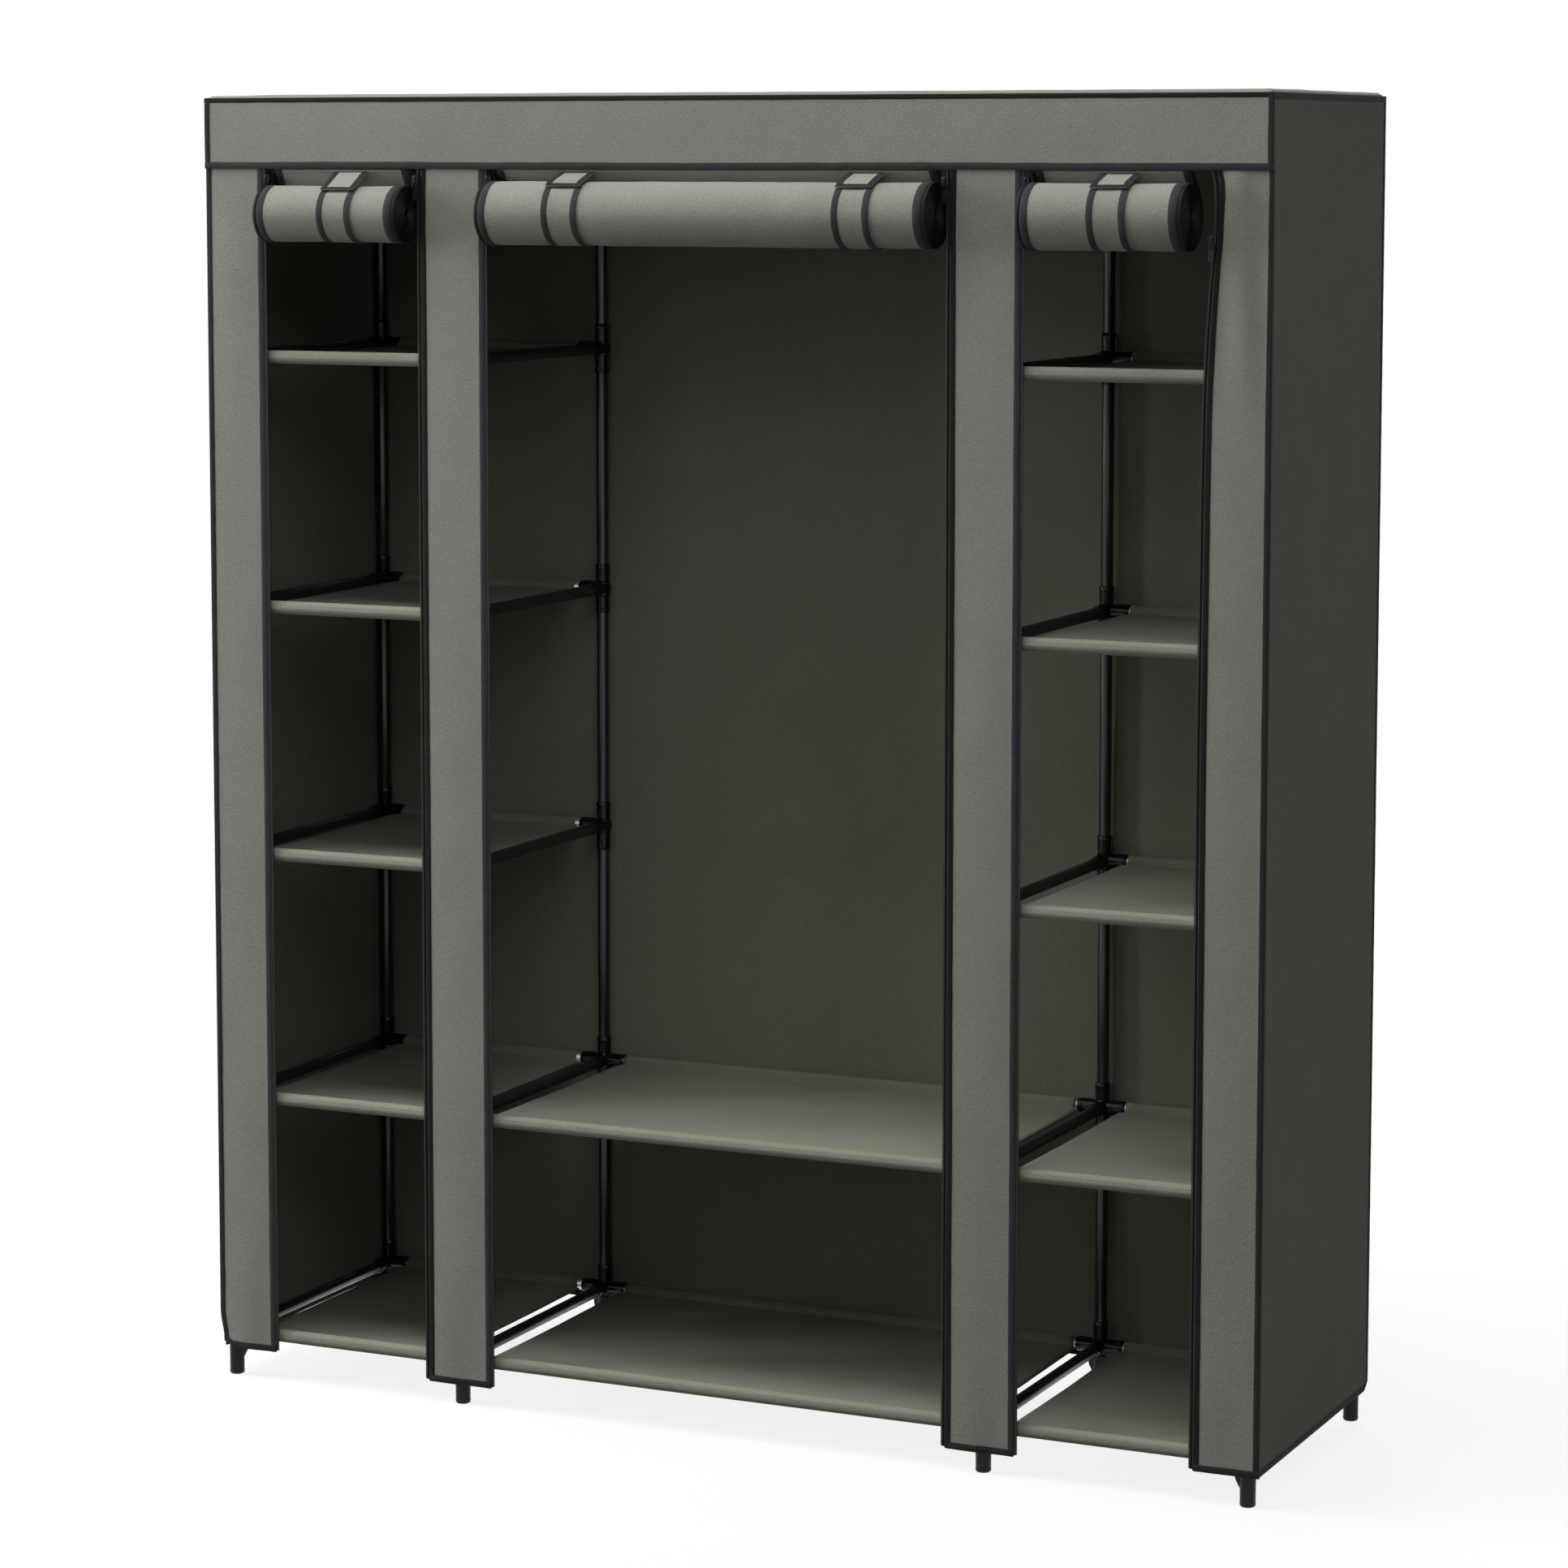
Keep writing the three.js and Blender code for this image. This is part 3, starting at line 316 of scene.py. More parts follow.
class Shape:
    """Gathers the vertices and faces of one piece."""

    def __init__(self):
        self.points, self.faces, self.uvs = [], [], []

    def sweep(self, rings, uvs=None):
        """Joins rings of equal length, each a closed outline, and closes both ends."""
        count = len(rings[0])
        last = (len(rings) - 1) * count
        faces = []
        for first in range(0, last, count):
            for k in range(count):
                a, b = first + k, first + (k + 1) % count
                faces.append((a, b, b + count, a + count))
        faces.append(range(count - 1, -1, -1))
        faces.append(range(last, last + count))
        start = len(self.points)
        self.points += [tuple(p) for ring in rings for p in ring]
        self.faces += [tuple(i + start for i in face) for face in faces]
        self.uvs += uvs or [(0, 0)] * (len(rings) * count)

    def lathe(self, origin, axis, profile, sides=32):
        """Turns a profile of (distance along the axis, radius), in mm, round the axis."""
        axis = Vector(axis).normalized()
        side = axis.orthogonal().normalized()
        other = axis.cross(side)
        turns = [2 * math.pi * k / sides for k in range(sides)]
        spokes = [side * math.cos(turn) + other * math.sin(turn) for turn in turns]
        self.sweep([[origin + axis * (at * MM) + spoke * (radius * MM) for spoke in spokes]
                    for at, radius in profile])

    def bar(self, a, b, radius, bevel=0.6, sides=32):
        """A round bar from one place to another. Its radius and the bevel of its ends are in mm."""
        length = (b - a).length / MM
        end = [(0, radius - bevel), (bevel * 0.3, radius - bevel * 0.3), (bevel, radius)]
        self.lathe(a, b - a, end + [(length - at, r) for at, r in reversed(end)], sides)

    def done(self, name, material, **how):
        uvs = self.uvs if any(uv != (0, 0) for uv in self.uvs) else None
        return piece(name, self.points, self.faces, material, uvs=uvs, **how)


def sheet(name, surface, us, vs, material, flat, held, rests_on, thickness=1.1, **how):
    """A sheet of cloth over surface(u, v), made as thick as cloth on both sides of that surface."""
    points = [surface(u, v) for v in vs for u in us]
    count = len(us)
    corners = [j * count + i for j in range(len(vs) - 1) for i in range(count - 1)]
    faces = [(a, a + 1, a + count + 1, a + count) for a in corners]
    obj = piece(name, points, faces, material, angle=60, **how)
    thick = obj.modifiers.new("cloth", "SOLIDIFY")
    thick.thickness = thickness * MM
    thick.offset = 0


# A tape's section: (share of its width in from the fold, height over the cloth's middle)
TAPE_SECTION = [(1.0, 0.2), (1.0, 0.95), (0.93, 1.2), (0.5, 1.28), (0.14, 1.2), (0.03, 0.85), (0.0, 0.0)]
TAPE_SECTION += [(t, -h) for t, h in reversed(TAPE_SECTION[:-1])]


def bind(name, surface, rim, width, material, body=ROOT, slot="cover_cloth", lift=1.0, pucker=0.12, seed=0):
    """Tape folded over the edge of a sheet. rim is a list of (u, v, du, dv): a place on the edge, and the
    step that goes one tape width in from it."""
    stations = []
    run = 0.0
    for u, v, du, dv in rim:
        outer = surface(u, v)
        run += (outer - stations[-1][0]).length if stations else 0
        stations.append((outer, surface(u + du * 0.5, v + dv * 0.5), surface(u + du, v + dv), run))
    rings, uvs = [], []
    for i, (outer, halfway, inner, run) in enumerate(stations):
        before = stations[max(i - 1, 0)]
        after = stations[min(i + 1, len(stations) - 1)]
        way = (after[0] - before[0]) + (after[2] - before[2])
        normal = way.cross(inner - outer).normalized()
        wobble = 1 + 0.05 * wave(*outer, 0.03, seed + 3)
        height = MM * lift * (1 + pucker * wave(*outer, 0.012, seed + 7))
        ring = []
        for t, h in TAPE_SECTION:
            share = t * wobble
            near_fold = share < 0.5
            base = outer.lerp(halfway, share * 2) if near_fold else halfway.lerp(inner, share * 2 - 1)
            ring.append(base + normal * (h * height))
            uvs.append((run, t * width * MM))
        rings.append(ring)
    shape = Shape()
    shape.sweep(rings, uvs)
    shape.done(name, material, body=body, slot=slot)


def side_rim(side, inward, count, flip):
    """The rim of a sheet's left edge, where side is 0, or of its right edge, where it is 1. inward is the
    tape's width as a share of the sheet's."""
    rim = [(side, v, -inward if side else inward, 0) for v in steps(count)]
    return rim[::-1] if flip else rim


# Measures taken from the part. A bay's row is its name, the places of its uprights and its shelves.
MIDDLE_Y, UPRIGHT_Y = 24.318, 211.5
FRONT_Y, REAR_Y = MIDDLE_Y - UPRIGHT_Y, MIDDLE_Y + UPRIGHT_Y
ENDS = [(-1, FRONT_Y), (1, REAR_Y)]
FAR_X, MID_X = 731.5, 377.4
STATIONS = [("far_left", -FAR_X), ("mid_left", -MID_X), ("mid_right", MID_X), ("far_right", FAR_X)]
BAYS = [("left", -FAR_X, -MID_X, 5), ("middle", -MID_X, MID_X, 2), ("right", MID_X, FAR_X, 5)]
BASE_Z, FIRST_Z, LEVEL_PITCH = 61, 391, 337
LEVELS = [BASE_Z] + [FIRST_Z + LEVEL_PITCH * k for k in range(5)]
TOP = len(LEVELS) - 1
TUBE_R = 8
TUBE_END = 14.5
ROD_X, ROD_Z = 369, 1692
STRIP_Y = MIDDLE_Y - 223
HEADER_Y = MIDDLE_Y - 225.2
BACK_Y = MIDDLE_Y + 224.4
RIM_Z, HEM_Z, COVER_BOTTOM = 1746.4, 1652.8, 40.5

# Frame. Profiles are (distance along the axis, radius).
ARM = [(0, 9.2), (27.5, 9.2), (28.2, 9.9), (32.2, 9.9), (34.0, 8.9), (34.0, 7.9), (30, 7.9)]
ARM_RIB = [(11, 9.3), (15, 10.3), (27.8, 10.3)]
ARM_RIB_FOOT, ARM_RIB_HALF = 8, 0.7
HUB_DROP, HUB_R = 11.2, 10.4
# A hub's shoulder and its end, over its lower end. At the top frame it is lower.
HUB_RISE, TOP_HUB_RISE = (20, 22.4), (18.4, 20.7)
HUB_CAP = [(0, 6.5), (1.6, 9.2), (12, 9.6)]
HUB_CAP_Y = 10.2
FOOT = [(0, 6.6), (0.35, 8.0), (1.4, 9.6), (3.0, 10.2), (5.0, 10.3), (6.5, 10.0), (46, 10.3), (50, 9.4)]
# A gusset's outline is (distance from the foot's axis, height), and a layer is (depth, how far it shrinks).
GUSSET = [(4, 22), (9.6, 22.5), (11, 25), (14, 30.5), (15.8, 34), (16.4, 38), (16.8, 43), (19, 47.5),
          (23, 50.5), (27, 52), (27, 61), (4, 61)]
GUSSET_LAYERS = [(-4.0, 1.2), (-3.6, 0.4), (-2.8, 0), (2.8, 0), (3.6, 0.4), (4.0, 1.2)]
CLAMP_HALF, CLAMP_R, CLAMP_BEVEL = 14, 9.6, 1.2
WEB_X, WEB_Y, WEB_HEIGHT = 4, 7, 40
ROD_SOCKET = [(0, 8.8), (1, 10.1), (27, 10.1), (31.5, 10.6), (32, 9.8), (32, 8.2), (28, 8.2)]


def arm(shape, middle, axis):
    """One socket of a connector: a sleeve with a thicker, chamfered mouth and four ribs along it."""
    shape.lathe(middle, axis, ARM)
    axis = Vector(axis)
    side = axis.orthogonal().normalized()
    for turn in (math.radians(45 + 90 * k) for k in range(4)):
        out = side * math.cos(turn) + axis.cross(side) * math.sin(turn)
        half = axis.cross(out) * (ARM_RIB_HALF * MM)
        rings = []
        for at, radius in ARM_RIB:
            low = middle + axis * (at * MM) + out * (ARM_RIB_FOOT * MM)
            high = middle + axis * (at * MM) + out * (radius * MM)
            rings.append([low - half, low + half, high + half, high - half])
        shape.sweep(rings)


def bay_sides(index, level):
    """The sides, -1 and 1, on which an upright has a rail or a shelf's tube at a level."""
    bays = [(side, bay) for side, bay in ((-1, index - 1), (1, index)) if 0 <= bay < len(BAYS)]
    return [side for side, bay in bays if level == TOP or level < BAYS[bay][3]]


def connector(shape, index, level, end, y):
    """The joint of one upright at one level. end is -1 at the front and 1 at the rear."""
    x, z = STATIONS[index][1], LEVELS[level]
    middle = place(x, y, z)
    shoulder, height = TOP_HUB_RISE if level == TOP else HUB_RISE
    arm(shape, middle, (0, 0, -1))
    if level < TOP:
        arm(shape, middle, (0, 0, 1))
    arm(shape, middle, (0, -end, 0))
    for side in bay_sides(index, level):
        arm(shape, middle, (side, 0, 0))
    hub = [(0, 9), (1.5, HUB_R), (shoulder, HUB_R), (height, 8.6)]
    shape.lathe(place(x, y, z - HUB_DROP), (0, 0, 1), hub)
    shape.lathe(place(x, y + end * HUB_CAP_Y, z), (0, -end, 0), HUB_CAP)


def gusset(shape, x, y, side):
    """The web between a foot and the arm above it. Its outer, slanting edge is rounded."""
    rings = []
    for depth, shrink in GUSSET_LAYERS:
        outline = [(a - shrink * (a > 5), b + shrink * (b < 50)) for a, b in GUSSET]
        rings.append([place(x + side * a, y + depth, b) for a, b in outline])
    shape.sweep(rings)


def base_connectors(index, name, x):
    """The two feet of one side frame, each one piece with its connector."""
    base = Shape()
    for end, y in ENDS:
        base.lathe(place(x, y, 0), (0, 0, 1), FOOT)
        connector(base, index, 0, end, y)
        for side in bay_sides(index, 0):
            gusset(base, x, y, side)
    base.done("base_connectors_" + name, PLASTIC, slot="connector", replaces=["base_frame_" + name])


def side_tubes(name, x):
    tubes = Shape()
    for level, z in enumerate(LEVELS):
        tubes.bar(place(x, FRONT_Y + TUBE_END, z), place(x, REAR_Y - TUBE_END, z), TUBE_R)
        if level < TOP:
            for y in (FRONT_Y, REAR_Y):
                tubes.bar(place(x, y, z + TUBE_END), place(x, y, LEVELS[level + 1] - TUBE_END), TUBE_R)
    tubes.done("tubes_" + name, TUBE, slot="tube", replaces=["side_frame_" + name])


def rod_holder(shape, x):
    """The clamp round a top tube, the web below it and the socket that takes the hanging rod."""
    inward = 1 if x < 0 else -1
    clamp = [place(x, MIDDLE_Y + side * CLAMP_HALF, LEVELS[TOP]) for side in (-1, 1)]
    shape.bar(*clamp, CLAMP_R, CLAMP_BEVEL)
    corners = [(-WEB_X, -WEB_Y), (WEB_X, -WEB_Y), (WEB_X, WEB_Y), (-WEB_X, WEB_Y)]
    shape.sweep([[place(x + a, MIDDLE_Y + b, z) for a, b in corners] for z in (ROD_Z, ROD_Z + WEB_HEIGHT)])
    shape.lathe(place(x - inward * WEB_X, MIDDLE_Y, ROD_Z), (inward, 0, 0), ROD_SOCKET)


def side_connectors(index, name, x):
    joints = Shape()
    for level in range(1, TOP + 1):
        for end, y in ENDS:
            connector(joints, index, level, end, y)
    if "mid" in name:
        rod_holder(joints, x)
    joints.done("connectors_" + name, PLASTIC, slot="connector")


def rail(name, node, x0, x1, y, z):
    """A tube along X that takes the place of one node."""
    shape = Shape()
    shape.bar(place(x0, y, z), place(x1, y, z), TUBE_R)
    shape.done(name, TUBE, slot="tube", replaces=[node])


for index, (name, x) in enumerate(STATIONS):
    base_connectors(index, name, x)
    side_tubes(name, x)
    side_connectors(index, name, x)
for name, x0, x1, shelves in BAYS:
    for end, y in (("front", FRONT_Y), ("rear", REAR_Y)):
        rail(f"rail_{name}_{end}", f"top_rail_{name}_{end}", x0 + TUBE_END, x1 - TUBE_END, y, LEVELS[TOP])
rail("coat_rod", "hanging_rod", -ROD_X, ROD_X, MIDDLE_Y, ROD_Z)

# Shelves
SHELF_TUBE_R = 7.9
SLEEVE_R = 8.45
SLEEVE_FLAT = -8.1
CREASE_DEPTH, CREASE_TURN, CREASE_WIDTH = 0.6, -193, 6
SHELF_INSET, SLEEVE_INSET = 29, 36
LEFT_SLIP = 5
SHELF_SAG, SHELF_STEP = 1.2, 9


def shelf_profile():
    """(distance behind the front tube, height over it, how much of the sag it takes). The cloth starts at
    the hidden seam behind the front tube, goes round the tube, back to the seam and on to the rear tube,
    which it rounds the other way."""
    span = 2 * UPRIGHT_Y
    seam = [(17, -4.0, 0.0), (13, -4.0, 0.0), (10.4, -4.1, 0.0)]
    sleeve = []
    for turn in steps(30, -24, -348):
        radius = SLEEVE_R - CREASE_DEPTH * bell(turn - CREASE_TURN, CREASE_WIDTH)
        sleeve.append((radius * math.cos(math.radians(turn)), radius * math.sin(math.radians(turn)), 0.0))
    neck = [(9.1, -0.6, 0.0), (9.5, -1.7, 0.0), (10.2, -2.4, 0.0), (11.4, -2.7, 0.01), (13, -2.75, 0.02),
            (16, -2.7, 0.06), (24, -2.6, 0.16)]
    front = seam + sleeve + neck + [(y, -2.5, arch(y / span)) for y in (45, 75, 110, 150, 185)]
    return front + [(UPRIGHT_Y, -2.5, 1.0)] + [(span - y, z, share) for y, z, share in reversed(front)]


PROFILE = list(zip(*shelf_profile()))


def shelf(bay, x0, x1, level, number):
    """Cloth stretched between two tubes. The lowest one's sleeve is flatter, behind the front strips."""
    name = f"shelf_{bay}_{level + 1}"
    z = LEVELS[level]
    slip = LEFT_SLIP if bay == "left" else 0

    def surface(u, v):
        y, height, share = (between(column, v) for column in PROFILE)
        out = min(y, 2 * UPRIGHT_Y - y)
        if level == 0:
            y = max(y, SLEEVE_FLAT)
        inset = SLEEVE_INSET - (SLEEVE_INSET - SHELF_INSET) * smooth((out - 10) / 5)
        x = x0 + inset + (x1 - x0 - 2 * inset) * u - slip
        sleeve = 1 - smooth((out - 9) / 8)
        pucker = 0.125 * wave(x, y, number * 40, 16, number) * (sleeve + bell(out - 12, 5))
        sag = SHELF_SAG + 0.6 * wave(x, y, number * 50, 160, number)
        edges = 0.3 * abs(2 * u - 1) ** 6 * (1 + wave(y, number, 0, 70, number))
        wrinkles = 0.3 * wave(x * 0.5, y, number * 9, 45, number)
        return place(x, FRONT_Y + y, z + height + pucker - share * (sag + edges - wrinkles))

    tubes = Shape()
    for y in (FRONT_Y, REAR_Y):
        tubes.bar(place(x0 + TUBE_END, y, z), place(x1 - TUBE_END, y, z), SHELF_TUBE_R, sides=24)
    tubes.done(name + "_tubes", STEEL, slot="tube")
    us = steps(int((x1 - x0) / SHELF_STEP))
    vs = steps(2 * (len(PROFILE[0]) - 1))
    sheet(name + "_cloth", surface, us, vs, SHADE_TINTED_SHELF_CLOTH, flat=(MM * (x1 - x0 - 2 * SHELF_INSET), 0.55),
          held="stretched", rests_on=[name + "_tubes"], thickness=0.9, slot="shelf_cloth", replaces=[name])


number = 0
for bay, x0, x1, shelves in BAYS:
    for level in range(shelves):
        number += 1
        shelf(bay, x0, x1, level, number)

# Cover: top, back and sides
COVER_X = 750
TOP_X, TOP_FRONT, TOP_DEPTH, TOP_RIM, TOP_DROP = 746.6, 223.4, 447.6, 5, 1.0
TOP_CROWN, TOP_RISE, TOP_SAG, TOP_SAG_MIDDLE = 3.2, 1.6, 3.2, 4.0
BACK_X, BACK_BIND, BACK_HEIGHT = 746.2, 7.6, 1704
BACK_SLACK, BACK_IN, BACK_DROP = 1.1, 1.4, 2.2
SIDE_X, SIDE_FRONT, SIDE_DEPTH, SIDE_HEIGHT = 748.2, MIDDLE_Y - 221.2, 450, 1706
SIDE_BIND = 8.2
CORNER_Y, CORNER_Z = 14, 11
TUCK, TUCK_FROM, TUCK_HEIGHT = 6, 92, 52
SIDE_WORDS = [(-1, "left"), (1, "right")]
EDGE_WORDS = [(0, "left"), (1, "right")]


def near_edges(count, inset):
    """Even steps with two closer ones at both ends."""
    return [0, inset / 2] + steps(count, inset, 1 - inset) + [1 - inset / 2, 1]


def top_surface(u, v):
    """The tubes lift the top over its rim, and it sags between them."""
    x = -TOP_X + 2 * TOP_X * u
    y = MIDDLE_Y - TOP_FRONT + TOP_DEPTH * v
    lifted = smooth(min(min(u, 1 - u) * 2 * TOP_X, min(v, 1 - v) * TOP_DEPTH) / TOP_RIM)
    crown = TOP_CROWN + TOP_RISE * smooth((x + 740) / 110)
    wrinkles = 0.35 * wave(x, y, 0, 60, 4)
    sag = 0.0
    for name, left, right, shelves in BAYS:
        if left < x < right:
            depth = TOP_SAG_MIDDLE if name == "middle" else TOP_SAG
            sag = depth * arch((x - left) / (right - left)) * arch(v)
    return place(x, y, RIM_Z - TOP_DROP + (crown + wrinkles) * lifted - sag)


def back_surface(u, v):
    x = -BACK_X + 2 * BACK_X * u
    z = COVER_BOTTOM + (RIM_Z - BACK_DROP - COVER_BOTTOM) * v
    broad = 2.4 * wave(x, 0, z, 420, 11)
    fine = 1.0 * wave(x * 1.6, 0, z * 0.7, 150, 12)
    flutes = 2.0 * math.sin(x / 47 + 2 * wave(x, 0, 0, 300, 13)) * fade(v, 0.24)
    bow = arch(u) ** 0.5 * (BACK_SLACK + broad + fine + flutes) * smooth((1 - v) / 0.05)
    return place(x, BACK_Y + max(-BACK_IN, bow), z)


def tuck(z):
    """How far the left side's lower edge hangs inwards."""
    return TUCK * smooth((TUCK_FROM - z) / TUCK_HEIGHT)


def side_surface(side):
    """A side panel, with its lower rear corner cut round. side is -1 on the left and 1 on the right."""
    loose = 1.8 if side < 0 else 1.0
    rear = SIDE_FRONT + SIDE_DEPTH

    def surface(u, v):
        y = SIDE_FRONT + SIDE_DEPTH * u
        low = COVER_BOTTOM + CORNER_Z * smooth((y - rear + CORNER_Y) / CORNER_Y)
        z = low + (RIM_Z - low) * v
        broad = 1.1 * loose * wave(0, y, z, 300, 20 + side)
        fine = 0.5 * loose * wave(0, y * 1.4, z, 90, 22)
        ripple = 0.8 * math.sin(y / 38) * fade(v, 0.16)
        bow = arch(u) * arch(v) ** 0.4 * (broad + fine + ripple)
        return place(side * (SIDE_X + bow - (tuck(z) if side < 0 else 0)), y, z)

    return surface


def side_loop(du, dv):
    """The rim of a side panel's lower, rear and upper edges."""
    low = [(u, 0, 0, dv) for u in steps(60, 0, 1 - du)] + [(1, 0, -du, dv)]
    rear = [(1, v, -du, 0) for v in steps(220, dv, 1 - dv)] + [(1, 1, -du, -dv)]
    return low + rear + [(u, 1, 0, -dv) for u in reversed(steps(60, 0, 1 - du))]


sheet("cover_top_cloth", top_surface, near_edges(120, 0.0034), near_edges(44, 0.011), CLOTH,
      flat=(1.5, 0.45), held="stretched", rests_on=["rail_left_front", "rail_right_rear"],
      slot="cover_cloth", replaces=["cover_top"])
sheet("cover_back_cloth", back_surface, steps(90), steps(100), SHADE_TINTED_BACK_CLOTH, flat=(1.495, 1.704), held="hung",
      rests_on=["cover_top_cloth"], slot="cover_cloth", replaces=["cover_back"])
back_hem = [(u, 0, 0, BACK_BIND / BACK_HEIGHT) for u in steps(200)]
bind("cover_back_hem", back_surface, back_hem, BACK_BIND, BLACK_TAPE)
for side, word in SIDE_WORDS:
    surface = side_surface(side)
    sheet(f"cover_{word}_side_cloth", surface, steps(46), steps(120), SHADE_TINTED_SIDE_CLOTH, flat=(0.45, 1.706), held="hung",
          rests_on=["cover_top_cloth"], slot="cover_cloth", replaces=[f"cover_{word}_side"])
    loop = side_loop(SIDE_BIND / SIDE_DEPTH, SIDE_BIND / SIDE_HEIGHT)
    bind(f"cover_{word}_side_binding", surface, loop, SIDE_BIND, BLACK_TAPE)

# Header
HEADER_HEM, HEADER_RIM, HEADER_EDGE = 8.8, 6.2, 8.0
HEADER_SLACK, HEADER_RISE = 0.9, 0.2


def header_surface(u, v):
    x = -COVER_X + 2 * COVER_X * u
    hem = HEM_Z + 1.2 * wave(x, 0, 0, 260, 31) * smooth(min(u, 1 - u) * 12)
    z = hem + (RIM_Z + HEADER_RISE - hem) * v
    broad = 0.9 * wave(x, 0, z, 180, 32)
    fine = 0.5 * wave(x, 0, z, 60, 33)
    return place(x, HEADER_Y - max(0, arch(v) ** 0.6 * (HEADER_SLACK + broad + fine)), z)


sheet("cover_header_cloth", header_surface, steps(220), steps(18), CLOTH, flat=(1.5, 0.094), held="hung",
      rests_on=["cover_top_cloth"], slot="cover_cloth", replaces=["cover_header"])
header_height = RIM_Z - HEM_Z
hem_rim = [(u, 0, 0, HEADER_HEM / header_height) for u in steps(300)]
bind("cover_header_hem", header_surface, hem_rim, HEADER_HEM, TAPE, pucker=0.3)
top_rim = [(u, 1, 0, -HEADER_RIM / header_height) for u in reversed(steps(300))]
bind("cover_header_rim", header_surface, top_rim, HEADER_RIM, BLACK_TAPE)
for side, word in EDGE_WORDS:
    rim = side_rim(side, HEADER_EDGE / (2 * COVER_X), 24, flip=side == 0)
    bind(f"cover_header_{word}_edge", header_surface, rim, HEADER_EDGE, EDGE_TAPE, lift=1.04)

# Front strips and their zips
OUTER_DOORWAY, INNER_DOORWAY, MIDDLE_DOORWAY = 657, 428, 323
STRIP_TOP, ZIP_TOP = 1667, 1664
OUTER_HEM, MIDDLE_HEM = 40, 28
# The height at which a strip's width is taken
WIDTH_Z = 800
STRIP_BIND, STRIP_SLACK, STRIP_IN = 8.8, 1.1, 0.4
ZIP_LEFT, ZIP_RIGHT = 6.0, 5.0
ZIP_STEP = 1.9
ZIP_TAPE_REACH, ZIP_TAPE_HALF, ZIP_TAPE_DEPTH = 13, 0.32, 0.5
# One loop of a coil: (distance in from the doorway's edge, depth behind the strip's plane)
COIL_LOOP = [(0.1, 0.0), (0.5, -0.95), (2.0, -1.15), (3.3, -0.9), (3.3, 0.7), (0.5, 0.9)]
# The far right strip's edge is drawn aside: (height, how far). From PULLED_FROM up, its cloth and its
# zip's tape lie further in from the coil.
PULLED_FROM = 1585
PULLED = [(0, 0), (950, 0), (1260, 2), (1360, 3.2), (1410, 4.8), (1460, 7.4), (1510, 10.7), (1540, 13.3),
          (1560, 15.6), (1580, 17), (1600, 17.3), (1620, 16.8), (1640, 16.2), (1650, 14.5), (1660, 9.5),
          (1668, 5)]


def straight(x):
    return lambda z: x + 0.35 * wave(x, 0, z, 150, 41)


def pulled(z):
    return OUTER_DOORWAY + sum(along(PULLED, z + d) for d in (-16, -8, 0, 8, 16)) / 5


# Each strip: its name, its hem's height, its left and right edges, and which of them carry a zip
STRIPS = [
    ("far_left", OUTER_HEM, lambda z: tuck(z) - COVER_X, straight(-OUTER_DOORWAY), False, True),
    ("mid_left", MIDDLE_HEM, straight(-INNER_DOORWAY), straight(-MIDDLE_DOORWAY), True, True),
    ("mid_right", MIDDLE_HEM, straight(MIDDLE_DOORWAY), straight(INNER_DOORWAY), True, True),
    ("far_right", OUTER_HEM, pulled, lambda z: COVER_X, True, False),
]


def zip_chain(name, edge, inward, hem):
    """The coil along a doorway's edge: short loops of nylon side by side, and the tape they are sewn to."""
    rings, uvs = [], []
    for z in steps(160, hem + 2, ZIP_TOP):
        near = 2.2 + (1.6 * smooth((z - PULLED_FROM) / 35) if "far_right" in name else 0)
        corners = ((near, -1), (ZIP_TAPE_REACH, -1), (ZIP_TAPE_REACH, 1), (near, 1))
        tape_y = STRIP_Y + ZIP_TAPE_DEPTH
        rings.append([place(edge(z) + inward * a, tape_y + way * ZIP_TAPE_HALF, z) for a, way in corners])
        uvs += [((z - hem) * MM, a * MM) for a, way in corners]
    tape = Shape()
    tape.sweep(rings, uvs)
    tape.done(name + "_tape", ZIP_TAPE, slot="zip_metal")
    coil = Shape()
    z = hem + 3
    while z < ZIP_TOP - 3:
        x = edge(z)
        low = [place(x + inward * a, STRIP_Y + b, z) for a, b in COIL_LOOP]
        middle = [place(x + inward * (a * 0.92 + 0.13), STRIP_Y + b * 1.06, z + ZIP_STEP * 0.34)
                  for a, b in COIL_LOOP]
        high = [place(x + inward * a, STRIP_Y + b, z + ZIP_STEP * 0.68) for a, b in COIL_LOOP]
        coil.sweep([low, middle, high])
        z += ZIP_STEP
    coil.done(name + "_coil", COIL, slot="zip_metal")


def strip_surface(name, hem, left, right, zip_left, zip_right):
    """A strip between the edges left(z) and right(z), drawn in where it carries a zip."""
    def surface(u, v):
        z = hem + (STRIP_TOP - hem) * v
        a = left(z) + (ZIP_LEFT if zip_left else 0)
        if name == "far_right":
            a += 2.2 * smooth((z - PULLED_FROM) / 45)
        b = right(z) - (ZIP_RIGHT if zip_right else 0)
        x = a + (b - a) * u
        if name == "far_left":
            z += 7 * (1 - smooth((x + 744) / 16)) * fade(v, 0.03)
        broad = 1.0 * wave(x * 0.7, 0, z, 330, 51)
        fine = 0.6 * wave(x, 0, z, 90, 52)
        curl = 1.4 * fade(v, 0.12) * math.sin(x / 24)
        bow = (STRIP_SLACK + broad + fine) * smooth((1660 - z) / 60) + curl
        if name == "far_right":
            pull = smooth((z - 1300) / 200) * smooth((1690 - z) / 60)
            bow += 2.6 * pull * math.sin((x - 690) / 13 + (z - 1500) / 150)
        return place(x, STRIP_Y - max(-STRIP_IN, arch(u) * bow), z)

    return surface


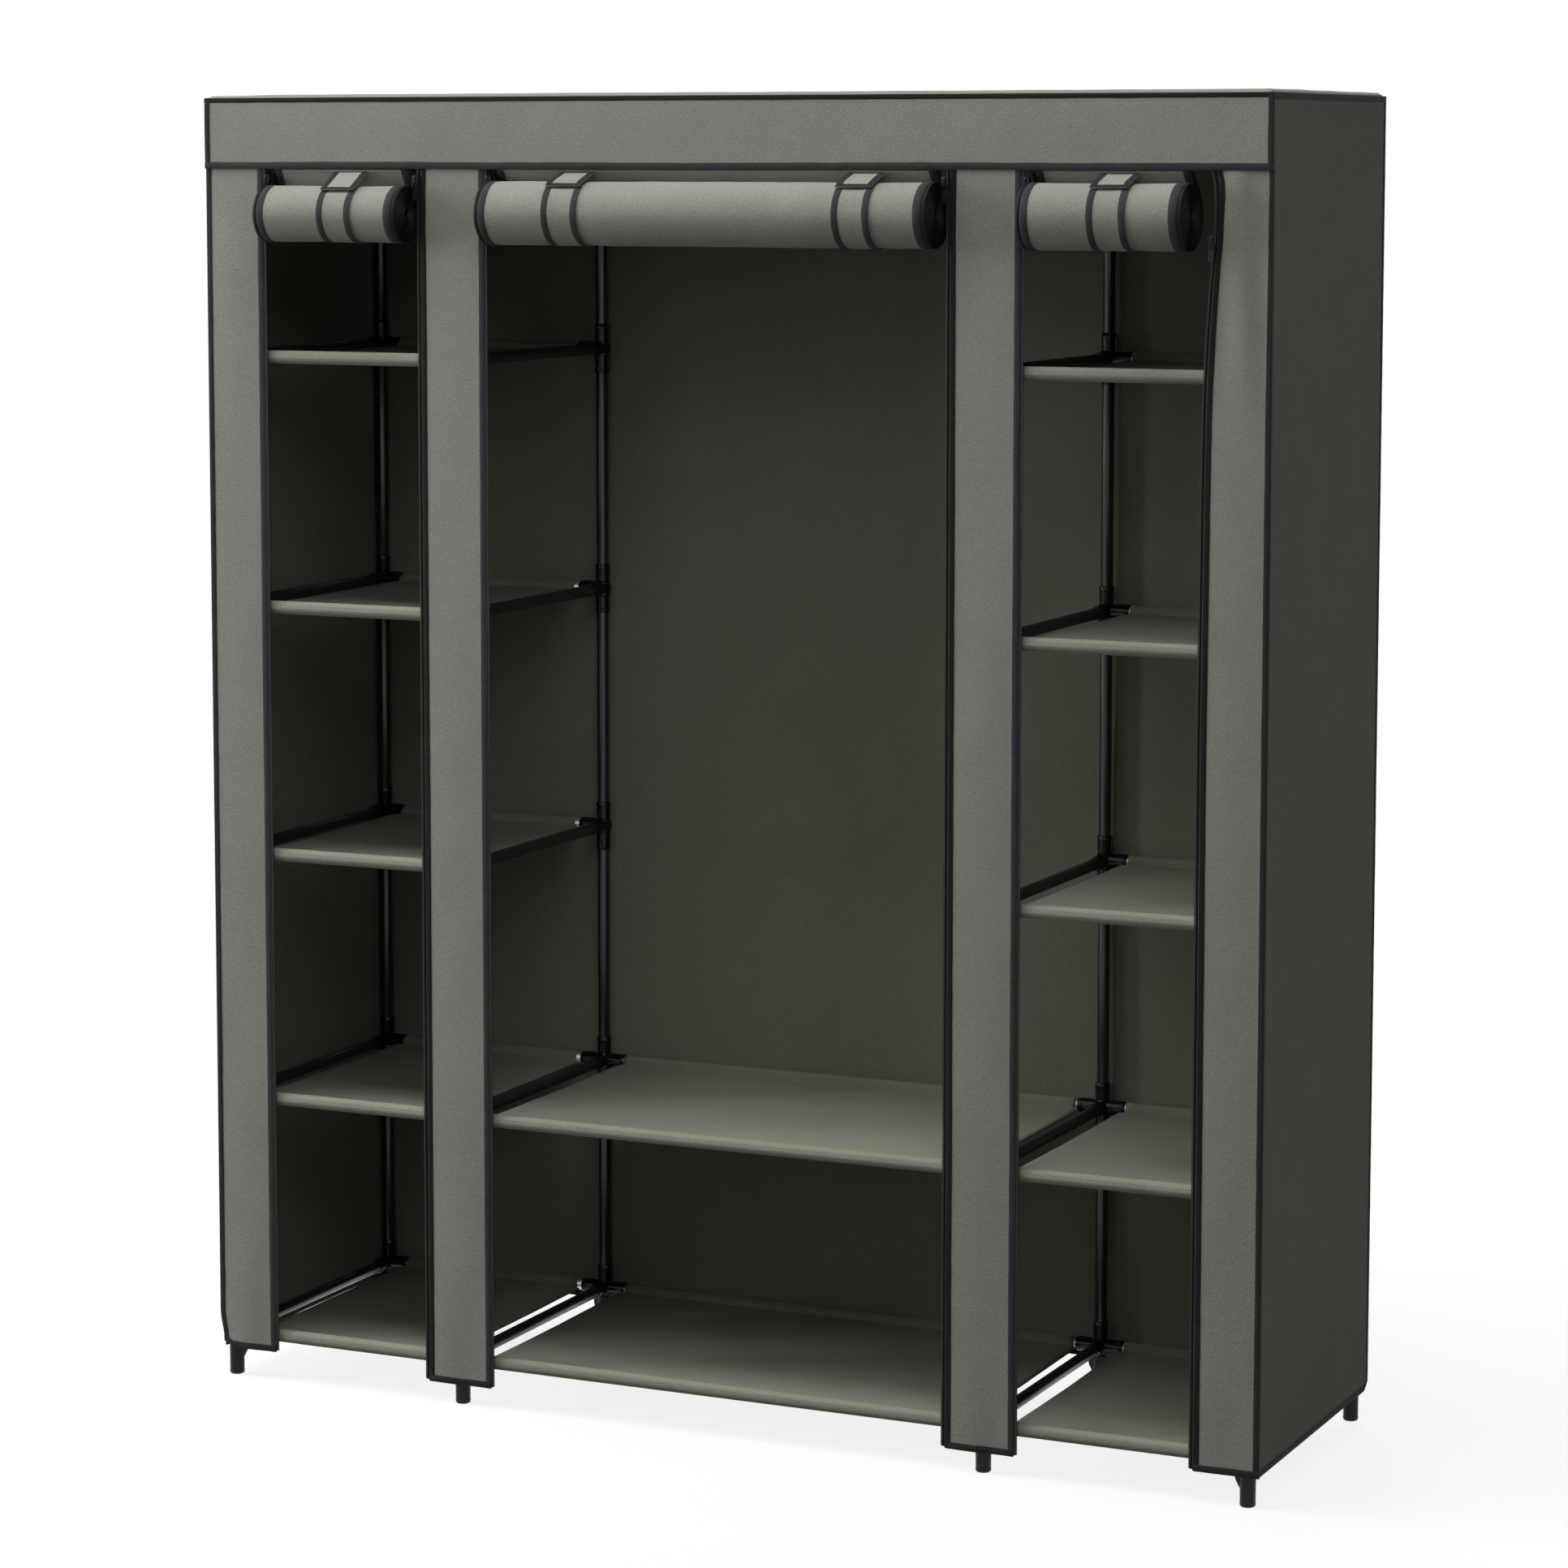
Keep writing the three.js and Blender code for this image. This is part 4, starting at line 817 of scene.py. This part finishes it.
def front_strip(name, hem, left, right, zip_left, zip_right):
    surface = strip_surface(name, hem, left, right, zip_left, zip_right)
    width = right(WIDTH_Z) - left(WIDTH_Z)
    sheet(f"strip_{name}_cloth", surface, steps(26), steps(150), CLOTH,
          flat=(MM * width, MM * (STRIP_TOP - hem)), held="hung", rests_on=["cover_header_cloth"],
          slot="cover_cloth", replaces=[f"front_strip_{name}"])
    left_tape = BLACK_TAPE if zip_left else EDGE_TAPE
    right_tape = TAPE if zip_right else EDGE_TAPE
    for (side, word), material in zip(EDGE_WORDS, (left_tape, right_tape)):
        rim = side_rim(side, STRIP_BIND / width, 260, flip=side == 0)
        bind(f"strip_{name}_{word}_binding", surface, rim, STRIP_BIND, material, seed=side)
    hem_rim = [(u, 0, 0, STRIP_BIND / (STRIP_TOP - hem)) for u in steps(30)]
    bind(f"strip_{name}_hem", surface, hem_rim, STRIP_BIND, EDGE_TAPE, lift=1.06, pucker=0.25)
    if zip_left:
        zip_chain(f"zip_{name}_left", left, 1, hem)
    if zip_right:
        zip_chain(f"zip_{name}_right", right, -1, hem)


for row in STRIPS:
    front_strip(*row)

# Rolled doors, straps and tabs
DOOR_LENGTH, CORE_R = 1600, 5
DOOR_GAP, DOOR_BIND, DOOR_ZIP, DOOR_STEP = 7.5, 9.5, 6.5, 8
HINGE_DROP, ROLL_FORWARD, ROLL_SKIN = 0.8, 12, 0.6
# Sections along a door's side: (distance out past its edge, height over its cloth)
DOOR_TAPE_IN = 6
DOOR_TAPE = [(-DOOR_TAPE_IN, -0.35), (3.6, -0.35), (3.6, 0.35), (-DOOR_TAPE_IN, 0.35)]
DOOR_LOOP = [(3.0, -0.8), (5.8, -0.7), (6.4, 0), (5.8, 0.7), (3.0, 0.8)]
STRAP_WIDTH, STRAP_BIND, STRAP_OVER = 51, 9.0, 1.55
PINCH_DEPTH, PINCH_WIDTH = 1.1, 34
TAB_LENGTH, TAB_SEWN, TAB_BIND = 43.5, 1.5, 8.0
TAB_TAPE_X, TAB_TAPE_Z = 8.4, 5.5
TAB_PIVOT = Vector((MIDDLE_Y - 224.5, 1647.5))
TAB_OVER = 3.9


def towards(angle):
    return Vector((math.cos(angle), math.sin(angle)))


def tangent(centre, point, radius, way):
    """Where a straight line from a point touches a circle: the angle there and the line's length. way is
    1 or -1, for the side that it touches."""
    span = point - centre
    angle = math.atan2(span.y, span.x) + way * math.acos(radius / span.length)
    return angle, math.sqrt(span.length_squared - radius ** 2)


class Roll:
    """The line that a door follows from the header's hem to the core of its roll, as (y, z)."""

    def __init__(self, radius, drop, seed):
        self.seed = seed
        self.hinge = Vector((STRIP_Y, HEM_Z - HINGE_DROP))
        self.centre = Vector((STRIP_Y - ROLL_FORWARD, HEM_Z - drop))
        self.outer = radius - ROLL_SKIN
        self.start, self.flap = tangent(self.centre, self.hinge, self.outer, -1)
        self.pitch = math.pi * (self.outer ** 2 - CORE_R ** 2) / (DOOR_LENGTH - self.flap)
        self.turns = (self.outer - CORE_R) / self.pitch
        self.out = towards(self.start)
        self.down = Vector((self.out.y, -self.out.x))

    def on_flap(self, share, offset, x):
        """A place on the flap, at a share of its length above the roll."""
        bulge = 1.3 * arch(share) * wave(x, 0, -share * 20, 70, self.seed)
        return self.hinge + self.down * (self.flap * (1 - share)) + self.out * (offset + bulge)

    def at(self, turn, offset, x):
        """turn is in whole turns of the roll, and below 0 it is a share of the flap above it."""
        if turn < 0:
            return self.on_flap(-turn, offset, x)
        angle = self.start - turn * 2 * math.pi
        reach = self.outer - self.pitch * turn + offset
        reach += 0.7 * wave(math.cos(angle) * 20, math.sin(angle) * 20, turn * 6, 14, self.seed)
        if turn > 1:
            reach -= 0.4
        if turn < 1.02:
            skin = 0.55 * wave(x, angle * 30, 0, 46, self.seed + 1)
            skin += 0.25 * wave(x, angle * 30, 0, 17, self.seed + 2)
            reach += skin * smooth(turn * 5) * smooth((1.02 - turn) * 5)
        return self.centre + towards(angle) * reach


LEFT_ROLL = Roll(radius=39, drop=58.8, seed=61)
MIDDLE_ROLL = Roll(radius=43.5, drop=55.8, seed=71)
RIGHT_ROLL = Roll(radius=43.5, drop=55.8, seed=81)
OUTER_SIDE, INNER_SIDE = OUTER_DOORWAY - DOOR_GAP, INNER_DOORWAY + DOOR_GAP
MIDDLE_SIDE = MIDDLE_DOORWAY - DOOR_GAP
# Each door: its name, its sides, its roll, and the name and place of each strap
DOORS = [
    ("left", -OUTER_SIDE, -INNER_SIDE, LEFT_ROLL, [("left", -527)]),
    ("middle", -MIDDLE_SIDE, MIDDLE_SIDE, MIDDLE_ROLL, [("middle_left", -192), ("middle_right", 215)]),
    ("right", INNER_SIDE, OUTER_SIDE, RIGHT_ROLL, [("right", 553)]),
]


def pinch(x, straps):
    """How far the straps press the roll in."""
    return sum(PINCH_DEPTH * bell(x - at, PINCH_WIDTH) for strap_name, at in straps)


def door_surface(x0, x1, roll, straps, turns):
    def surface(u, v, offset=0.0):
        turn = between(turns, v)
        x = x0 + DOOR_ZIP + (x1 - x0 - 2 * DOOR_ZIP) * u
        squeeze = pinch(x, straps) * smooth(1.6 - turn) if turn > 0 else 0
        p = roll.at(turn, offset - squeeze, x)
        return place(x, p.x, p.y)

    return surface


def door_edge(name, side, word, surface, width, count):
    """The binding, the zip's tape and its coil along one side of a door."""
    body = "door_" + name
    out = Vector((1 if side else -1, 0, 0))

    def ring(v, section, swell=1.0):
        edge = surface(side, v)
        up = (surface(side, v, 1.0) - edge).normalized()
        return [edge + out * a * MM + up * (b * swell * MM) for a, b in section]

    rim = side_rim(side, DOOR_BIND / width, count, flip=side == 1)
    bind(f"door_{name}_{word}_binding", surface, rim, DOOR_BIND, TAPE, body=body, slot="strap",
         lift=0.95, seed=side)
    uvs = []
    run, before = 0.0, surface(side, 0)
    for v in steps(count):
        edge = surface(side, v)
        run += (edge - before).length
        before = edge
        uvs += [(run, (a + DOOR_TAPE_IN) * MM) for a, b in DOOR_TAPE]
    tape = Shape()
    tape.sweep([ring(v, DOOR_TAPE) for v in steps(count)], uvs)
    tape.done(f"door_{name}_{word}_zip_tape", ZIP_TAPE, body=body, slot="zip_metal")
    coil = Shape()
    coil.sweep([ring(v, DOOR_LOOP, 1.0 if k % 2 else 0.8) for k, v in enumerate(steps(2 * count))])
    coil.done(f"door_{name}_{word}_coil", SHADE_DARKENED_DOOR_COIL, body=body, slot="zip_metal", angle=80)


def strap(name, at, door_name, roll, straps):
    """A band that goes down behind the roll, under it and up its front, to where the tab meets it."""
    body = "door_" + door_name
    turns = steps(8, -0.92, -0.04) + steps(44, 0, 0.75)
    count = len(turns) - 1

    def surface(u, v):
        turn = between(turns, v)
        x = at - STRAP_WIDTH / 2 + STRAP_WIDTH * u
        squeeze = pinch(x, straps) if turn > 0 else 0
        p = roll.at(turn, STRAP_OVER - squeeze, x)
        return place(x, p.x, p.y)

    sheet(f"strap_{name}_cloth", surface, steps(12), steps(count), DOOR, flat=(0.051, 0.25),
          held="stretched", rests_on=[f"door_{door_name}_cloth"], thickness=0.8, body=body, slot="strap",
          replaces=["strap_loop_" + name])
    for side, word in EDGE_WORDS:
        rim = side_rim(side, STRAP_BIND / STRAP_WIDTH, count, flip=side == 1)
        bind(f"strap_{name}_{word}_binding", surface, rim, STRAP_BIND, TAPE, body=body, slot="strap",
             lift=0.8, seed=side)


def tab(name, at, roll):
    """A short flap that hangs from the header and lies over the strap's end, on the roll's front."""
    body = "tab_" + name
    reach = roll.outer - roll.pitch * 0.6 + TAB_OVER
    bend, length = tangent(roll.centre, TAB_PIVOT, reach, 1)
    touch = roll.centre + towards(bend) * reach

    def surface(u, v):
        run = v * TAB_LENGTH - TAB_SEWN
        x = at - STRAP_WIDTH / 2 + STRAP_WIDTH * u
        if run < length:
            p = TAB_PIVOT + (touch - TAB_PIVOT) * (run / length)
        else:
            p = roll.centre + towards(bend + (run - length) / reach) * reach
        return place(x, p.x, p.y + 0.5 * arch(v) * wave(x, run, 0, 30, roll.seed + 5))

    sheet(f"tab_{name}_cloth", surface, steps(12), steps(12), DOOR, flat=(0.051, 0.0435), held="hung",
          rests_on=["cover_header_cloth"], thickness=0.9, body=body, slot="strap",
          replaces=["strap_tab_" + name])
    du, dv = TAB_TAPE_X / STRAP_WIDTH, TAB_TAPE_Z / TAB_LENGTH
    rim = [(0, v, du, 0) for v in steps(12, 0, 1 - dv)] + [(0, 1, du, -dv)]
    rim += [(u, 1, 0, -dv) for u in steps(12, du, 1 - du)] + [(1, 1, -du, -dv)]
    rim += [(1, v, -du, 0) for v in reversed(steps(12, 0, 1 - dv))]
    bind(f"tab_{name}_binding", surface, rim, TAB_BIND, EDGE_TAPE, body=body, slot="strap", lift=0.85)


def door(name, x0, x1, roll, straps):
    """A door rolled up to the header, with its straps and the tabs over them."""
    turns = steps(12, -0.995, -0.03) + steps(96, 0, 2)
    turns += steps(int((roll.turns - 2) * 28), 2, roll.turns)[1:]
    count = len(turns) - 1
    surface = door_surface(x0, x1, roll, straps, turns)
    us = steps(int((x1 - x0) / DOOR_STEP))
    sheet(f"door_{name}_cloth", surface, us, steps(count), DOOR, flat=(MM * (x1 - x0), 1.6), held="hung",
          rests_on=["cover_header_cloth"], thickness=1.0, body="door_" + name, slot="door_cloth",
          replaces=["rolled_door_" + name])
    for side, word in EDGE_WORDS:
        door_edge(name, side, word, surface, x1 - x0 - 2 * DOOR_ZIP, count)
    for strap_name, at in straps:
        strap(strap_name, at, name, roll, straps)
        tab(strap_name, at, roll)


for row in DOORS:
    door(*row)

# Zip sliders and pulls
ZIPS = ("left_outer", "left_inner", "middle_left", "middle_right", "right_inner", "right_outer")
METAL_BEVEL, METAL_ANGLE = 0.2, 35


def dress(node, material):
    """Gives a CAD node its material and rounds its edges."""
    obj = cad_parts[node]
    obj.data.materials.clear()
    obj.data.materials.append(material)
    bevel = obj.modifiers.new("edges", "BEVEL")
    bevel.width = METAL_BEVEL * MM
    bevel.segments = 2
    bevel.limit_method = "ANGLE"
    bevel.angle_limit = math.radians(METAL_ANGLE)


for zip_name in ZIPS:
    for kind in ("zip_slider_", "zip_pull_"):
        dress(kind + zip_name, METAL)

# Floor, world and lights
FLOOR_HALF, FLOOR_Z = 30, -0.0002
FLOOR_NEAR, FLOOR_FAR = 0.9, 2.3
WORLD_LIGHT = 0.035
LAMP_SIZE = 2.6
AIM = (0, 0, 0.9)
# Each lamp: its name, its place, what it points at and its power
LAMPS = [
    ("left_key", (-4.852, -1.300, 2.246), AIM, 245),
    ("left_high", (-2.583, -1.491, 5.160), AIM, 90),
    ("overhead", (0, -1.258, 5.946), AIM, 140),
    ("front_fill", (0, -4.886, 2.679), AIM, 16),
    ("right_fill", (1.992, -3.450, 4.243), AIM, 28),
    ("rear", (-1.2, 4.6, 2.9), (-0.2, 0, 0.9), 200),
]


def seen_rays(tree):
    """1 for rays that show the background, straight, reflected or through glass, and 0 for other light."""
    rays = add(tree, "ShaderNodeLightPath").outputs
    indirect = math_node(tree, "MAXIMUM", rays["Is Glossy Ray"], rays["Is Transmission Ray"])
    return math_node(tree, "MAXIMUM", rays["Is Camera Ray"], indirect)


def floor_material():
    """Pale floor: white away from the wardrobe, and near it a little of the wardrobe's shadow shows."""
    material, tree, shader = new_material("floor_white")
    seen = seen_rays(tree)
    away = add(tree, "ShaderNodeVectorMath", operation="LENGTH")
    link(tree, add(tree, "ShaderNodeNewGeometry").outputs["Position"], away.inputs[0])
    white_share = map_range(tree, away.outputs["Value"], 0.86, 1.0, FLOOR_NEAR, FLOOR_FAR)
    link(tree, map_range(tree, seen, 0.14, 0.95), shader.inputs["Base Color"])
    fill(shader, {"Roughness": 0.9, "Specular IOR Level": 0.1})
    white = add(tree, "ShaderNodeEmission")
    mix = add(tree, "ShaderNodeMixShader")
    link(tree, math_node(tree, "MULTIPLY", seen, white_share), mix.inputs[0])
    link(tree, shader.outputs[0], mix.inputs[1])
    link(tree, white.outputs[0], mix.inputs[2])
    output = next(n for n in tree.nodes if n.type == "OUTPUT_MATERIAL")
    link(tree, mix.outputs[0], output.inputs["Surface"])
    return material


def add_floor():
    half = FLOOR_HALF
    corners = [(x, y, FLOOR_Z) for x, y in ((-half, -half), (half, -half), (half, half), (-half, half))]
    mesh = bpy.data.meshes.new("floor")
    mesh.from_pydata(corners, [], [(0, 1, 2, 3)])
    mesh.materials.append(floor_material())
    floor = bpy.data.objects.new("floor", mesh)
    scene.collection.objects.link(floor)


def add_world():
    """White where it is seen, and a faint light on the wardrobe."""
    world = bpy.data.worlds.new("world")
    scene.world = world
    world.use_nodes = True
    tree = world.node_tree
    background = next(n for n in tree.nodes if n.type == "BACKGROUND")
    fill(background, {"Color": (1, 1, 1, 1)})
    link(tree, map_range(tree, seen_rays(tree), WORLD_LIGHT, 1.0), background.inputs["Strength"])


def area_light(name, at, target, power):
    data = bpy.data.lights.new(name, "AREA")
    data.shape = "RECTANGLE"
    data.size = data.size_y = LAMP_SIZE
    data.energy = power
    lamp = bpy.data.objects.new(name, data)
    scene.collection.objects.link(lamp)
    lamp.location = at
    lamp.rotation_euler = (Vector(target) - Vector(at)).to_track_quat("-Z", "Y").to_euler()


add_floor()
add_world()
for row in LAMPS:
    area_light(*row)

scene.view_settings.view_transform = "Standard"
